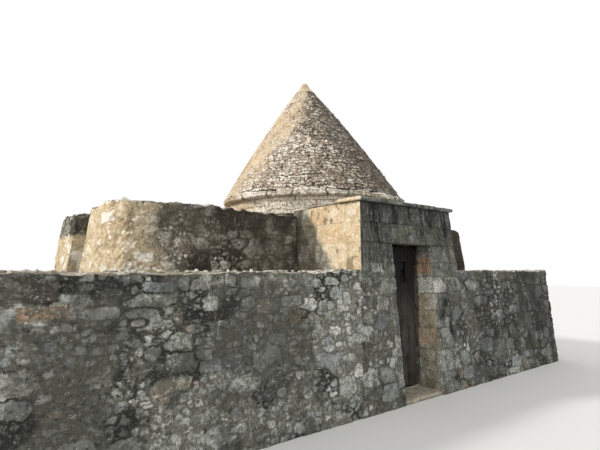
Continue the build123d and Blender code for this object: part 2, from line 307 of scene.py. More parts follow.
def lattice(points, around=False, over=False, keep=...):
    """Faces between neighbours of a grid of points; keep picks some of them.

    Where one direction is closed, the other one gets flat caps at its ends.
    """
    n, m = points.shape[:2]
    k, r = np.meshgrid(np.arange(n if around else n - 1), np.arange(m if over else m - 1), indexing="ij")
    k1, r1 = (k + 1) % n, (r + 1) % m
    faces = np.stack([k * m + r, k1 * m + r, k1 * m + r1, k * m + r1], -1)[keep].reshape(-1, 4).tolist()
    if over and not around:
        faces += [list(range(m)), list(range(n * m - 1, (n - 1) * m - 1, -1))]
    if around and not over:
        faces += [list(range((n - 1) * m, -1, -m)), list(range(m - 1, n * m, m))]
    return points.reshape(-1, 3), faces


def join(shells):
    """Several shells, each (points, faces, looks), as one."""
    faces, start = [], 0
    for points, polygons, _ in shells:
        faces += [[start + i for i in polygon] for polygon in polygons]
        start += len(points)
    looks = {name: np.concatenate([np.broadcast_to(values[name], len(points)) for points, _, values in shells])
             for name in shells[0][2]}
    return np.concatenate([points for points, _, _ in shells]), faces, looks


def piece(name, shell, finish, slot, *nodes, body="house"):
    """A smoothly shaded mesh object with its looks as point attributes, riding on its body."""
    points, faces, looks = shell
    mesh = bpy.data.meshes.new(name)
    mesh.from_pydata(points.tolist(), [], faces)
    for look, values in looks.items():
        mesh.attributes.new(look, "FLOAT", "POINT").data.foreach_set(
            "value", np.ascontiguousarray(values, dtype=np.float32).ravel())
    net = bmesh.new()
    net.from_mesh(mesh)
    bmesh.ops.remove_doubles(net, verts=net.verts, dist=2e-5)
    bmesh.ops.dissolve_degenerate(net, edges=net.edges, dist=1e-6)
    bmesh.ops.delete(net, geom=[v for v in net.verts if not v.link_faces], context="VERTS")
    net.to_mesh(mesh)
    net.free()
    mesh.polygons.foreach_set("use_smooth", np.ones(len(mesh.polygons), dtype=bool))
    thing = bpy.data.objects.new(name, mesh)
    bpy.context.scene.collection.objects.link(thing)
    mesh.materials.append(finish)
    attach(thing, body)
    if nodes:
        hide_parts(*nodes)
    return thing


# Walls: strips of masonry that follow the plan, battered, with a worn brow and a top that runs inward

def wall(name, nodes, corners, levels, inner, laying, finish, step, start, brow, sink, dip):
    """A length of wall from its ground line up, over its rounded brow and in to the inner line.

    At height z a point is its ground place plus its move times z, plus its outward direction times the
    relief's depth. The top is laid evenly from the brow to the nearest point of the inner rectangle, and
    heaves along the wall by layered noise, which goes no lower than the dip. Returns the way's length so far.
    """
    low, high = levels
    step = step * COARSE
    place, move, out, length = walk(corners, step)
    length = start + length
    bend = np.linspace(0, pi / 2, 5)[1:]
    rise = np.linspace(low, high - brow, max(4, round((high - brow - low) / step)))
    edge = place + move * (high - low) - out * brow
    goal = np.clip(edge, *inner)
    reach = np.linalg.norm(goal - edge, axis=1)
    span = np.linspace(0, 1, max(4, round(float(np.median(reach)) / step)))[1:]
    z, inset, inward, sideways, upward, climb = (
        np.concatenate([on_rise + 0 * rise, on_brow + 0 * bend, on_top + 0 * span]) for on_rise, on_brow, on_top in (
            (rise, high - brow + brow * np.sin(bend), high), (0, brow * (1 - np.cos(bend)), brow), (0, 0, span),
            (1, np.cos(bend), 0), (0, np.sin(bend), 1), (rise, high - brow + brow * bend, high + 0.57 * brow)))
    plan = place[:, None] + move[:, None] * (z - low)[:, None] - out[:, None] * inset[:, None]
    plan = plan + inward[:, None] * (goal - edge)[:, None]
    along = np.stack([-out[:, 1], out[:, 0]], 1)
    grid = Grid(length[:, None] + (move * along).sum(1)[:, None] * (z - low), climb + inward * reach[:, None],
                lifted(plan, z), lifted(out[:, None] * sideways[:, None], upward))
    points, looks = grid.laid(laying)
    crest = np.where(inward > 0, 1 - 0.6 * inward, ease((z - low) / (high - low), 0.85, 1.0))
    line = length[:, None] * (1, 0, 0)
    heave = HEAVE * np.maximum(rough(line, 0.42, 3, 91) + 0.75 * rough(line, 0.10, 3, 93) - sink, -dip)
    points[..., 2] += heave[:, None] * crest
    points = np.concatenate([points, lifted(goal[:, None], low)], 1)
    looks = {key: np.concatenate([value, value[:, -1:]], 1).ravel() for key, value in looks.items()}
    piece(name, (*lattice(points, over=True), looks), finish, "rubble", *nodes)
    return length[-1]


def column(corners, low, high, laying, step):
    """A closed mass between two levels: its plan, battered as its corners say, with the laying's relief."""
    step = step * COARSE
    place, move, out, length = walk(corners, step, closed=True)
    z = np.linspace(low, high, max(3, round((high - low) / step)))
    plan = place[:, None] + move[:, None] * z[:, None]
    points, looks = Grid(length[:, None], z, lifted(plan, z), lifted(out[:, None] + 0 * plan, 0)).laid(laying)
    return *lattice(points, around=True), {key: value.ravel() for key, value in looks.items()}


def worn_block(size, step, rounding, roughness, seed, bite):
    """A block worn round at its edges, centred at the origin.

    Each point of a box's surface goes to the nearest point of the box that is smaller by the rounding, and
    from there out by the rounding, less noise. Bites are larger dips that the same noise makes at the edges.
    """
    half = np.array(size) / 2
    sides = []
    for axis in range(3):
        u, v = (axis + 1) % 3, (axis + 2) % 3
        lines = (np.linspace(-half[i], half[i], max(2, ceil(2 * half[i] / step)) + 1) for i in (u, v))
        a, b = np.meshgrid(*lines, indexing="ij")
        for side in (1, -1):
            spot = np.zeros(a.shape + (3,))
            spot[..., axis], spot[..., u], spot[..., v] = side * half[axis], a, b
            sides.append((*lattice(spot[:, ::side]), {}))
    box, faces, _ = join(sides)
    core = np.clip(box, rounding - half, half - rounding)
    out = box - core
    out /= np.linalg.norm(out, axis=1)[:, None]
    dents = 0.5 + 0.5 * rough(box + 3.7 * seed, 0.11, 3, seed)
    corner = 1 - np.abs(out).max(1)
    reach = rounding - roughness * dents - bite * corner * ease(rough(box + 1.9 * seed, 0.16, 2, seed + 5), -0.1, 0.6)
    return core + out * reach[:, None], faces


def blocks(rows, step, rounding, roughness, seed, bite=0.03):
    """Worn blocks from rows of (middle x, y, z, size x, y, z), each with its own tone."""
    shells = []
    for i, (x, y, z, *size) in enumerate(rows):
        points, faces = worn_block(size, step * COARSE, rounding, roughness, seed + 31 * i, bite)
        tone, kind = (hashed(i, seed, key).item() for key in (61, 62))
        shells.append((points + (x, y, z), faces, vars(plain(tone=tone, kind=kind))))
    return shells


# Finishes

def srgb(red, green, blue):
    """A colour as it is seen on a screen, 0..255, as the light values that a shader takes."""
    values = [c / 255 for c in (red, green, blue)]
    return tuple(c / 12.92 if c <= 0.04045 else ((c + 0.055) / 1.055) ** 2.4 for c in values) + (1.0,)


class Wire:
    """A socket to calculate with: + - and * add Math nodes."""

    def __init__(self, sheet, socket):
        self.sheet, self.socket = sheet, socket

    def work(self, operation, a, b):
        return self.sheet.make("ShaderNodeMath", {"operation": operation}, {0: a, 1: b})

    def __add__(self, other):
        return self.work("ADD", self, other)

    def __sub__(self, other):
        return self.work("SUBTRACT", self, other)

    def __rsub__(self, other):
        return self.work("SUBTRACT", other, self)

    def __mul__(self, other):
        return self.work("MULTIPLY", self, other)

    __radd__ = __add__
    __rmul__ = __mul__


class Sheet:
    """The nodes of one finish, or of the sky."""

    def __init__(self, owner):
        owner.use_nodes = True
        self.owner, self.tree = owner, owner.node_tree
        self.tree.nodes.clear()

    def make(self, kind, settings, sockets, output=0):
        """Any node: its settings first, then its sockets' values or wires."""
        node = self.tree.nodes.new(kind)
        for key, value in settings.items():
            setattr(node, key, value)
        for key, value in sockets.items():
            if isinstance(value, Wire):
                self.tree.links.new(value.socket, node.inputs[key])
            else:
                node.inputs[key].default_value = value
        return None if output is None else Wire(self, node.outputs[output])

    def spot(self, *drawn):
        """The place on the object, drawn out along the axes where that is asked for."""
        place = self.make("ShaderNodeTexCoord", {}, {}, "Object")
        return self.make("ShaderNodeMapping", {}, {"Vector": place, "Scale": drawn}) if drawn else place

    def height(self):
        return self.make("ShaderNodeSeparateXYZ", {}, {0: self.spot()}, 2)

    def field(self, name):
        return self.make("ShaderNodeAttribute", {"attribute_name": name}, {}, "Fac")

    def noise(self, scale, detail, share, at=None, output=0):
        return self.make("ShaderNodeTexNoise", {}, {
            "Vector": at or self.spot(), "Scale": scale, "Detail": detail, "Roughness": share}, output)

    def cells(self, at, feature, output):
        return self.make("ShaderNodeTexVoronoi", {"feature": feature}, {"Vector": at, "Scale": 1.0}, output)

    def span(self, value, low, high):
        """0 at low and 1 at high, eased between."""
        return self.make("ShaderNodeMapRange", {"interpolation_type": "SMOOTHSTEP"}, {
            "Value": value, "From Min": low, "From Max": high})

    def mix(self, a, b, factor):
        """Colour a where the factor is 0 and b where it is 1; each is a wire or a screen colour."""
        a, b = (c if isinstance(c, Wire) else srgb(*c) for c in (a, b))
        return self.make("ShaderNodeMix", {"data_type": "RGBA"}, {0: factor, 6: a, 7: b}, 2)

    def shade(self, colour, value):
        """A colour made darker or lighter by a value."""
        return self.make("ShaderNodeVectorMath", {"operation": "SCALE"}, {0: colour, "Scale": value})

    def finish(self, colour, roughness, height, distance, strength, metallic=0.0):
        bump = self.make("ShaderNodeBump", {}, {"Height": height, "Distance": distance, "Strength": strength})
        surface = self.make("ShaderNodeBsdfPrincipled", {}, {
            "Base Color": colour, "Roughness": roughness, "Metallic": metallic, "Normal": bump,
            "Specular IOR Level": 0.25})
        self.make("ShaderNodeOutputMaterial", {}, {"Surface": surface}, None)
        return self.owner


def stonework(name, cold, warm, crust_share, spots=0.3, holes=0.6, drips=0.0):
    """Old masonry: stones with their own tones, a bed of mortar, lime coat, dark crust and pale lichen; the
    crust colour also lays painted shade, and the warm colours painted sunlight.

    The looks made with the relief say what a point is: face (stone or joint), tone and kind (one number each
    for a stone), hollow (an open joint), coat (lime), warm (the sunlit side's paler colours, partly bleached
    stone and partly painted sunlight) and soot (where crust gathers and where shade is painted).
    """
    s = Sheet(bpy.data.materials.new(name))
    face, tone, kind, hollow, lime, sunny, soot = (
        s.field(look) for look in ("face", "tone", "kind", "hollow", "coat", "warm", "soot"))

    def hue(key):
        return s.mix(cold[key], warm[key], sunny) if warm else cold[key]

    clouds = s.noise(2.3, 5, 0.6)
    patch = s.span(s.noise(9, 7, 0.68), 0.34, 0.66)
    speck = s.span(s.noise(40, 6, 0.76), 0.36, 0.64)
    speck = speck + (0.55 - speck) * (lime.work("MAXIMUM", lime, sunny) * 0.4)
    grain = s.noise(190, 4, 0.65)
    stone = s.mix(hue("dark"), hue("pale"), s.span(tone * 0.65 + patch * 0.7 + speck * 0.2, 0.35, 1.15))
    if "cool" in cold:
        stone = s.mix(stone, cold["cool"], s.span(1.0 - kind, 0.76, 0.86) * (0.55 - sunny * 0.55))
    stone = s.mix(stone, hue("tint"), s.span(kind + patch * 0.14, 0.96, 1.10) * 0.8)
    stone = s.mix(stone, hue("chalk"), s.span(tone + patch * 0.22 + speck * 0.08, 0.98, 1.18) * 0.85)
    depth = hollow * (0.9 - sunny * 0.5) + clouds * 0.3 - patch * 0.25
    joint = s.mix(hue("bed"), hue("gap"), s.span(depth, 0.15, 0.85))
    joint = s.mix(joint, hue("pale"), s.span(s.noise(52, 5, 0.75), 0.54, 0.66) * 0.7)
    joint = s.mix(joint, hue("gap"), s.span(s.noise(73, 5, 0.8), 0.55, 0.64) * 0.65)
    wear = s.noise(15, 8, 0.76) * 1.7 - 0.85
    colour = s.mix(joint, stone, s.span(face * 0.85 + wear + speck * 0.35 + patch * 0.2 - 0.22, 0.2, 0.75))
    colour = s.mix(colour, s.mix(hue("coat"), hue("wash"), s.span(clouds + patch * 0.35, 0.5, 0.88)), lime)
    if warm:
        blot = s.noise(4.5, 8, 0.74)
        colour = s.mix(colour, hue("chalk"), s.span(blot, 0.55, 0.66) * sunny * 0.6)
        colour = s.mix(colour, hue("tint"), s.span(1.0 - blot, 0.56, 0.68) * sunny * 0.55)
    # The crust colour goes where crust gathers and also where shade is painted through the soot look
    dirt_and_shade = s.noise(5.5, 8, 0.72) + soot * 0.42 - sunny * 0.36
    dirt_and_shade = s.span(dirt_and_shade, 0.66 - 0.16 * crust_share, 0.82 - 0.1 * crust_share)
    colour = s.mix(colour, hue("crust_and_shade"), dirt_and_shade * (0.35 + speck * 0.5 + s.span(soot, 1.1, 1.7) * 0.4))
    if drips:
        high = 0.12 + s.span(s.height(), 1.45, 1.85) * 0.88
        run, pale_run = (s.span(s.noise(1.0, 7, 0.75, s.spot(*drawn)), low, end) * high * drips for drawn, low, end in
                         (((10, 10, 2.2), 0.47, 0.62), ((23, 23, 4.0), 0.54, 0.66)))
        stain = s.mix(hue("crust_and_shade"), hue("wash"), sunny)
        colour = s.mix(colour, stain, run * (0.3 + speck * 0.7) * (1 - sunny * 0.4))
        colour = s.mix(colour, hue("pale"), pale_run * 0.85)
    hole = s.span(s.noise(27, 6, 0.8), 0.55, 0.62) * (1 - lime * 0.6) * (1 - sunny * 0.6)
    colour = s.mix(colour, hue("gap"), hole * holes)
    lichen = s.span(s.noise(31, 5, 0.78), 0.57, 0.65) * spots
    colour = s.mix(colour, hue("chalk"), lichen * (0.3 + face * 0.7) * (1 - s.span(soot, 1.0, 1.6) * 0.7))
    colour = s.shade(colour, 0.46 + speck * 0.74 + grain * 0.4)
    height = speck * 0.5 + grain * 0.35 + patch * 0.4 - hole * 0.8
    return s.finish(colour, 0.82 + grain * 0.16, height, 0.008, 0.7)


def plain_masonry(name, pale, dark, bed, stone=(3.4, 3.4, 6.5), sunk=1.0):
    """Masonry on the solids inside: cells drawn out to the stones' size, with sunk joints."""
    s = Sheet(bpy.data.materials.new(name))
    bend = s.shade(s.noise(6.0, 3.0, 0.5, output=1), 0.35)
    place = s.make("ShaderNodeVectorMath", {"operation": "ADD"}, {0: s.spot(*stone), 1: bend})
    tone = s.make("ShaderNodeSeparateColor", {}, {"Color": s.cells(place, "F1", "Color")}, 0)
    face = s.span(s.cells(place, "DISTANCE_TO_EDGE", "Distance"), 0.02, 0.12)
    mottle, grain = s.noise(12, 6, 0.62), s.noise(80, 5, 0.7)
    colour = s.mix(bed, s.mix(dark, pale, s.span(tone * 0.7 + mottle * 0.8, 0.4, 1.1)), face)
    colour = s.shade(colour, 0.72 + grain * 0.5)
    return s.finish(colour, 0.84 + grain * 0.14, face * sunk + grain * 0.2 + mottle * 0.2, 0.02, 0.8)


def old_wood(name, pale, dark, black):
    """Bare weathered boards: grain drawn out along the height, splits, a tone for each board, and painted shade
    darkening the top, as under the lintel.
    """
    s = Sheet(bpy.data.materials.new(name))
    fibre = s.noise(1.0, 6, 0.7, s.spot(95, 95, 3.2))
    streak = s.noise(1.0, 4, 0.6, s.spot(22, 22, 1.1))
    split = s.span(s.noise(1.0, 3, 0.5, s.spot(60, 60, 1.4)), 0.62, 0.7)
    colour = s.mix(dark, pale, s.span(fibre * 0.6 + streak * 0.6 + s.field("tone") * 0.35, 0.45, 1.05))
    colour = s.mix(colour, black, s.span(s.noise(6, 5, 0.6) + streak * 0.3, 0.62, 0.85) * 0.7)
    colour = s.mix(colour, black, split)
    # Painted shade: darker towards the top
    colour = s.shade(colour, 1.0 - s.span(s.height() + streak * 0.5, 1.1, 1.75) * 0.88)
    return s.finish(colour, 0.7 + fibre * 0.25, fibre * 0.7 - split, 0.004, 0.8)


def rusty_iron(name):
    """Forged iron gone to scale and rust."""
    s = Sheet(bpy.data.materials.new(name))
    scale, fine = s.noise(60, 6, 0.7), s.noise(260, 4, 0.7)
    colour = s.mix((46, 34, 28), (116, 68, 40), s.span(scale + fine * 0.3, 0.5, 0.85))
    return s.finish(colour, 0.72 + fine * 0.22, scale + fine * 0.5, 0.002, 0.7, 0.25)


# The warm colours of the sides that face the sun: partly bleached stone, partly painted sunlight
SUNNY = dict(pale=(224, 209, 183), dark=(196, 174, 138), chalk=(242, 236, 222), tint=(210, 172, 124),
             bed=(206, 187, 152), gap=(150, 130, 98), coat=(222, 205, 174), wash=(206, 172, 124),
             crust_and_shade=(142, 127, 102))
lower_finish = stonework("lower_rubble", dict(
    pale=(170, 172, 164), dark=(112, 113, 103), chalk=(206, 205, 197), tint=(150, 123, 94), bed=(112, 112, 101),
    gap=(47, 47, 41), coat=(80, 76, 67), wash=(62, 59, 51), crust_and_shade=(50, 50, 44), cool=(140, 145, 146)), SUNNY, 0.4,
    0.5, 0.75)
upper_finish = stonework("upper_rubble", dict(
    pale=(184, 179, 166), dark=(134, 129, 115), chalk=(214, 209, 198), tint=(146, 124, 96), bed=(116, 109, 95),
    gap=(48, 44, 36), coat=(100, 94, 81), wash=(80, 73, 60), crust_and_shade=(54, 49, 40)), SUNNY, 0.5, 0.6, 0.9, 0.3)
portal_finish = stonework("portal_stone", dict(
    pale=(143, 145, 137), dark=(93, 95, 87), chalk=(190, 190, 184), tint=(148, 113, 88), bed=(94, 93, 83),
    gap=(42, 41, 36), coat=(96, 97, 85), wash=(72, 72, 61), crust_and_shade=(30, 30, 27), cool=(127, 132, 133)), SUNNY, 0.5,
    0.4, 0.7, 0.95)
# The roof's crust colour also lays the painted shade on the cone, the eave and the knob
roof_finish = stonework("roof_stone", dict(
    pale=(204, 191, 172), dark=(150, 138, 122), chalk=(236, 228, 214), tint=(188, 154, 126), bed=(146, 133, 116),
    gap=(76, 67, 57), coat=(208, 192, 166), wash=(200, 172, 134), crust_and_shade=(54, 50, 46)), None, 0.2, 0.5, 1.0)
earth_finish = stonework("ledge_earth", dict(
    pale=(176, 169, 152), dark=(140, 132, 113), chalk=(200, 195, 180), tint=(158, 136, 106), bed=(146, 135, 112),
    gap=(112, 102, 82), coat=(138, 128, 107), wash=(116, 107, 86), crust_and_shade=(108, 101, 84)), None, 0.3)
inner_finish = plain_masonry("inner_masonry", (176, 164, 144), (126, 116, 100), (92, 84, 70))
fill_finish = plain_masonry("rubble_fill", (150, 140, 120), (108, 100, 84), (84, 76, 60), (5, 5, 7))
flag_finish = plain_masonry("flagstones", (166, 158, 142), (130, 122, 108), (80, 73, 60), (2.6, 2.6, 2.6), 0.4)
board_finish = old_wood("door_boards_wood", (88, 83, 79), (42, 39, 37), (12, 12, 11))
batten_finish = old_wood("door_battens_wood", (104, 92, 80), (64, 55, 47), (26, 23, 21))
iron_finish = rusty_iron("rusty_iron")


# How the stones lie: each laying takes a grid and returns the relief's depth and the looks

def dark_and_warm(f, p, seed, warm_from=0.42):
    """Looks by direction and smooth noise: warm colours on the left-facing sides and the tops, partly bleached
    stone and partly painted sunlight, paler tops, and the crust.
    """
    top = ease(p.nz, 0.9, 1.0)
    sunlit = ease(-p.nx + 0.22 * p.rough(0.3, 3, seed), warm_from, warm_from + 0.3)
    # Warm colours on the left sides and, less, on the tops: partly bleaching, partly painted sunlight
    f.warm = np.maximum(sunlit, top * (0.32 + 0.3 * p.rough(0.25, 4, seed + 2)))
    f.hollow = f.hollow * (1 - 0.5 * top)
    f.tone = f.tone + 0.3 * top
    f.soot = np.clip(0.5 + 0.9 * p.rough(0.9, 3, seed + 1), 0, 1) * (1 - 0.6 * top)


def smear(depth, f, p, share, seed):
    """Mortar drawn over the stones: it hides whole stones by their kind and patches by smooth noise."""
    cover = ease(0.8 * p.rough(0.3, 4, seed) + 1.1 * (f.kind - 0.5) + share, 0.35, 0.75)
    f.face = f.face * (1 - cover)
    return depth * (1 - cover) + (0.009 * p.rough(0.07, 4, seed + 3) - 0.012) * cover


def within(value, middle, half, edge):
    """1 near the middle, easing to 0 at half its width away."""
    return ease(1 - abs(value - middle) / half, 0, edge)


# Larger stones that stand out near the top of the front wall, left of the portal: middle x, z, half width, height
KNOWN = ((-3.408, 1.258, 0.147, 0.052), (-2.971, 1.450, 0.160, 0.051), (-2.746, 1.475, 0.058, 0.074),
         (-4.027, 1.235, 0.055, 0.093), (-3.263, 1.172, 0.042, 0.027), (-3.135, 1.167, 0.075, 0.032),
         (-3.269, 1.077, 0.072, 0.036), (-2.426, 1.484, 0.065, 0.054), (-2.275, 1.478, 0.050, 0.058),
         (-2.088, 1.470, 0.106, 0.056), (-1.644, 1.463, 0.101, 0.050), (-1.253, 1.451, 0.063, 0.058),
         (-1.050, 1.459, 0.111, 0.049), (-1.617, 1.282, 0.139, 0.060), (-2.120, 1.293, 0.082, 0.050),
         (-1.093, 1.213, 0.058, 0.050), (-0.854, 1.279, 0.054, 0.072), (-2.505, 1.283, 0.083, 0.070),
         (-3.022, 0.928, 0.075, 0.055), (-2.577, 0.866, 0.085, 0.050))


def lower_laying(p):
    """Field stones and fillers, some under mortar, with a smooth coping at the far left of the front."""
    x, z = p.x, p.z
    front = ease(-p.ny, 0.4, 0.6)
    right = ease(x, 1.5, 2.0) * front
    stones = mixed_stones(p.u + p.ragged(2, 0.035, 0.018), p.v + p.ragged(12, 0.03, 0.016), 0.145, 0.26, 4, 0.52, 3.4)
    stones = set_stones(stones, x + p.ragged(17, 0.02), z + p.ragged(18, 0.016, 0.010), KNOWN, front > 0.5)
    depth, f = bedded(stones, 4, 0.015, 0.026, 0.014, 0.06, p.opened(14, 0.36 + 0.3 * right))
    given = stones[1] >= GIVEN_ROW
    f.kind = np.where(given, 0.12 + 0.4 * f.tone, f.kind)
    f.tone = np.where(given, 0.62 + 0.3 * f.tone, f.tone)
    depth = smear(depth, f, p, 0.02 + 0.1 * ease(p.nz, 0.9, 1.0) - 0.16 * right, 5)
    dark_and_warm(f, p, 6)
    coping = ease(-x, 3.69, 3.71) * ease(z, 1.345, 1.36) * ease(-p.y, 2.2, 2.4)
    depth = depth * (1 - coping) + coping * (-0.004 - 0.004 * p.rough(0.1, 3, 7))
    groove = within(z, 1.345, 0.014, 1) * ease(-x, 3.66, 3.7) + within(x, -3.695, 0.012, 1) * ease(z, 1.3, 1.4)
    depth = depth - 0.02 * np.clip(groove, 0, 1) * front
    f.coat = coping * (0.8 + 0.4 * p.rough(0.08, 3, 16))
    bend = p.ragged(15, 0.055, 0.03)
    block = within(x + bend, -3.785, 0.19, 0.2) * within(z + 0.7 * bend, 1.29, 0.065, 0.4) * front
    f.face = np.maximum(f.face, block)
    f.kind = np.where(block > 0.25, 0.91 + 0.08 * block, np.minimum(f.kind, 0.97))
    f.tone = np.where(block > 0.25, np.minimum(f.tone, 0.6), f.tone)
    drawn = p.place * (2, 2, 0.7)
    f.soot = np.clip(f.soot + 0.5 * ease(z, 1.3, 1.55) * ease(p.rough(0.35, 3, 8), 0, 0.5)
                     + (0.25 + 0.35 * ease(x, 2.2, 3.6) + 1.1 * rough(drawn, 0.3, 5, 19)) * right, 0, 1.5)
    f.tone = f.tone + (0.45 * rough(drawn, 0.2, 4, 20) - 0.1 * ease(x, 1.6, 3.4)) * right
    return depth + p.belly(0.014, 9) + 0.006 * p.rough(0.045, 3, 10), f


def upper_laying(p):
    """Rubble mostly under old mortar, with pale stones showing through it, rounder towards the top."""
    x, y, z = p.x, p.y, p.z
    front = ease(-p.ny, 0.3, 0.6)
    beside = ease(x, -1.9, -1.2) * front
    stones = mixed_stones(p.u + p.ragged(22, 0.04, 0.016), p.v + p.ragged(32, 0.035, 0.014), 0.13, 0.21, 24, 0.4, 2.2)
    depth, f = bedded(stones, 24, 0.02, 0.02, 0.016, 0.07, p.opened(34, 0.44))
    depth = smear(depth, f, p, 0.26 - 0.14 * beside, 25)
    dark_and_warm(f, p, 26)
    f.soot = np.clip(f.soot + 0.35 * ease(z, 1.85, 2.35), 0, 1)
    # Painted light in the stair notch, which takes the warm colours and a higher tone, and painted shade on the rear
    # cheek's top, which keeps the cold colours
    rear = ease(y, 0.1, 0.15) * ease(-x, 2.5, 2.6) * ease(z + 0.4 * p.ragged(29), 2.0, 2.08)
    notch = ease(-x, 2.0, 2.1) * ease(0.5 - abs(y + 0.1), 0.1, 0.14)
    f.warm = np.maximum(f.warm, 0.8 * notch) * (1 - rear)
    f.tone = f.tone + 0.25 + 0.5 * notch * (1 - rear)
    left = ease(-x, 1.0, 2.5)
    f.tone = f.tone + (1 - f.warm) * (0.3 * left - 0.15 - 0.3 * ease(p.rough(0.5, 3, 31), -0.1, 0.5))
    f.soot = np.clip(f.soot * (1 - notch) * (1 - 0.5 * left) + 0.35 * (1 - left), 0, 1)
    # Painted sunlight: the warm colours reach round the front's left curve, where light would graze it
    turning = ease(-x + 0.55 * p.rough(0.35, 5, 45) + 0.22 * ease(z, 2.1, 2.3), 2.22, 2.70)
    turning = turning * front * ease(-y, 1.0, 1.25)
    f.warm = np.maximum(f.warm, 0.6 * turning)
    near = beside * (1 - ease(x, 0, 1))
    end = ease(x, 1.0, 1.5) * front
    foot = (1 - ease(z + 0.1 * p.rough(0.2, 3, 46), 1.7, 1.95)) * front
    shaded = front - turning
    f.tone = f.tone - 0.15 * near - 0.7 * end + 0.22 * foot + 0.6 * p.rough(0.15, 4, 50) * shaded
    f.soot = (f.soot + 0.3 * ease(z, 2.0, 2.3) * front) * (1 - 0.6 * turning) + 0.3 * near + 1.3 * end
    f.soot = f.soot - 0.3 * foot + (0.15 + 0.9 * p.rough(0.2, 4, 49)) * shaded
    crumbling = ease(-p.nx, 0.3, 0.5) * ease(-p.ny, 0.3, 0.5)
    depth = depth - 0.022 * crumbling * ease(p.rough(0.1, 4, 48), 0.0, 0.3)
    lumps = 0.012 * ease(p.rough(0.12, 4, 27), 0.0, 0.4) - 0.011 * p.rough(0.04, 3, 30)
    return depth - lumps - 0.007 + p.belly(0.02, 28), f


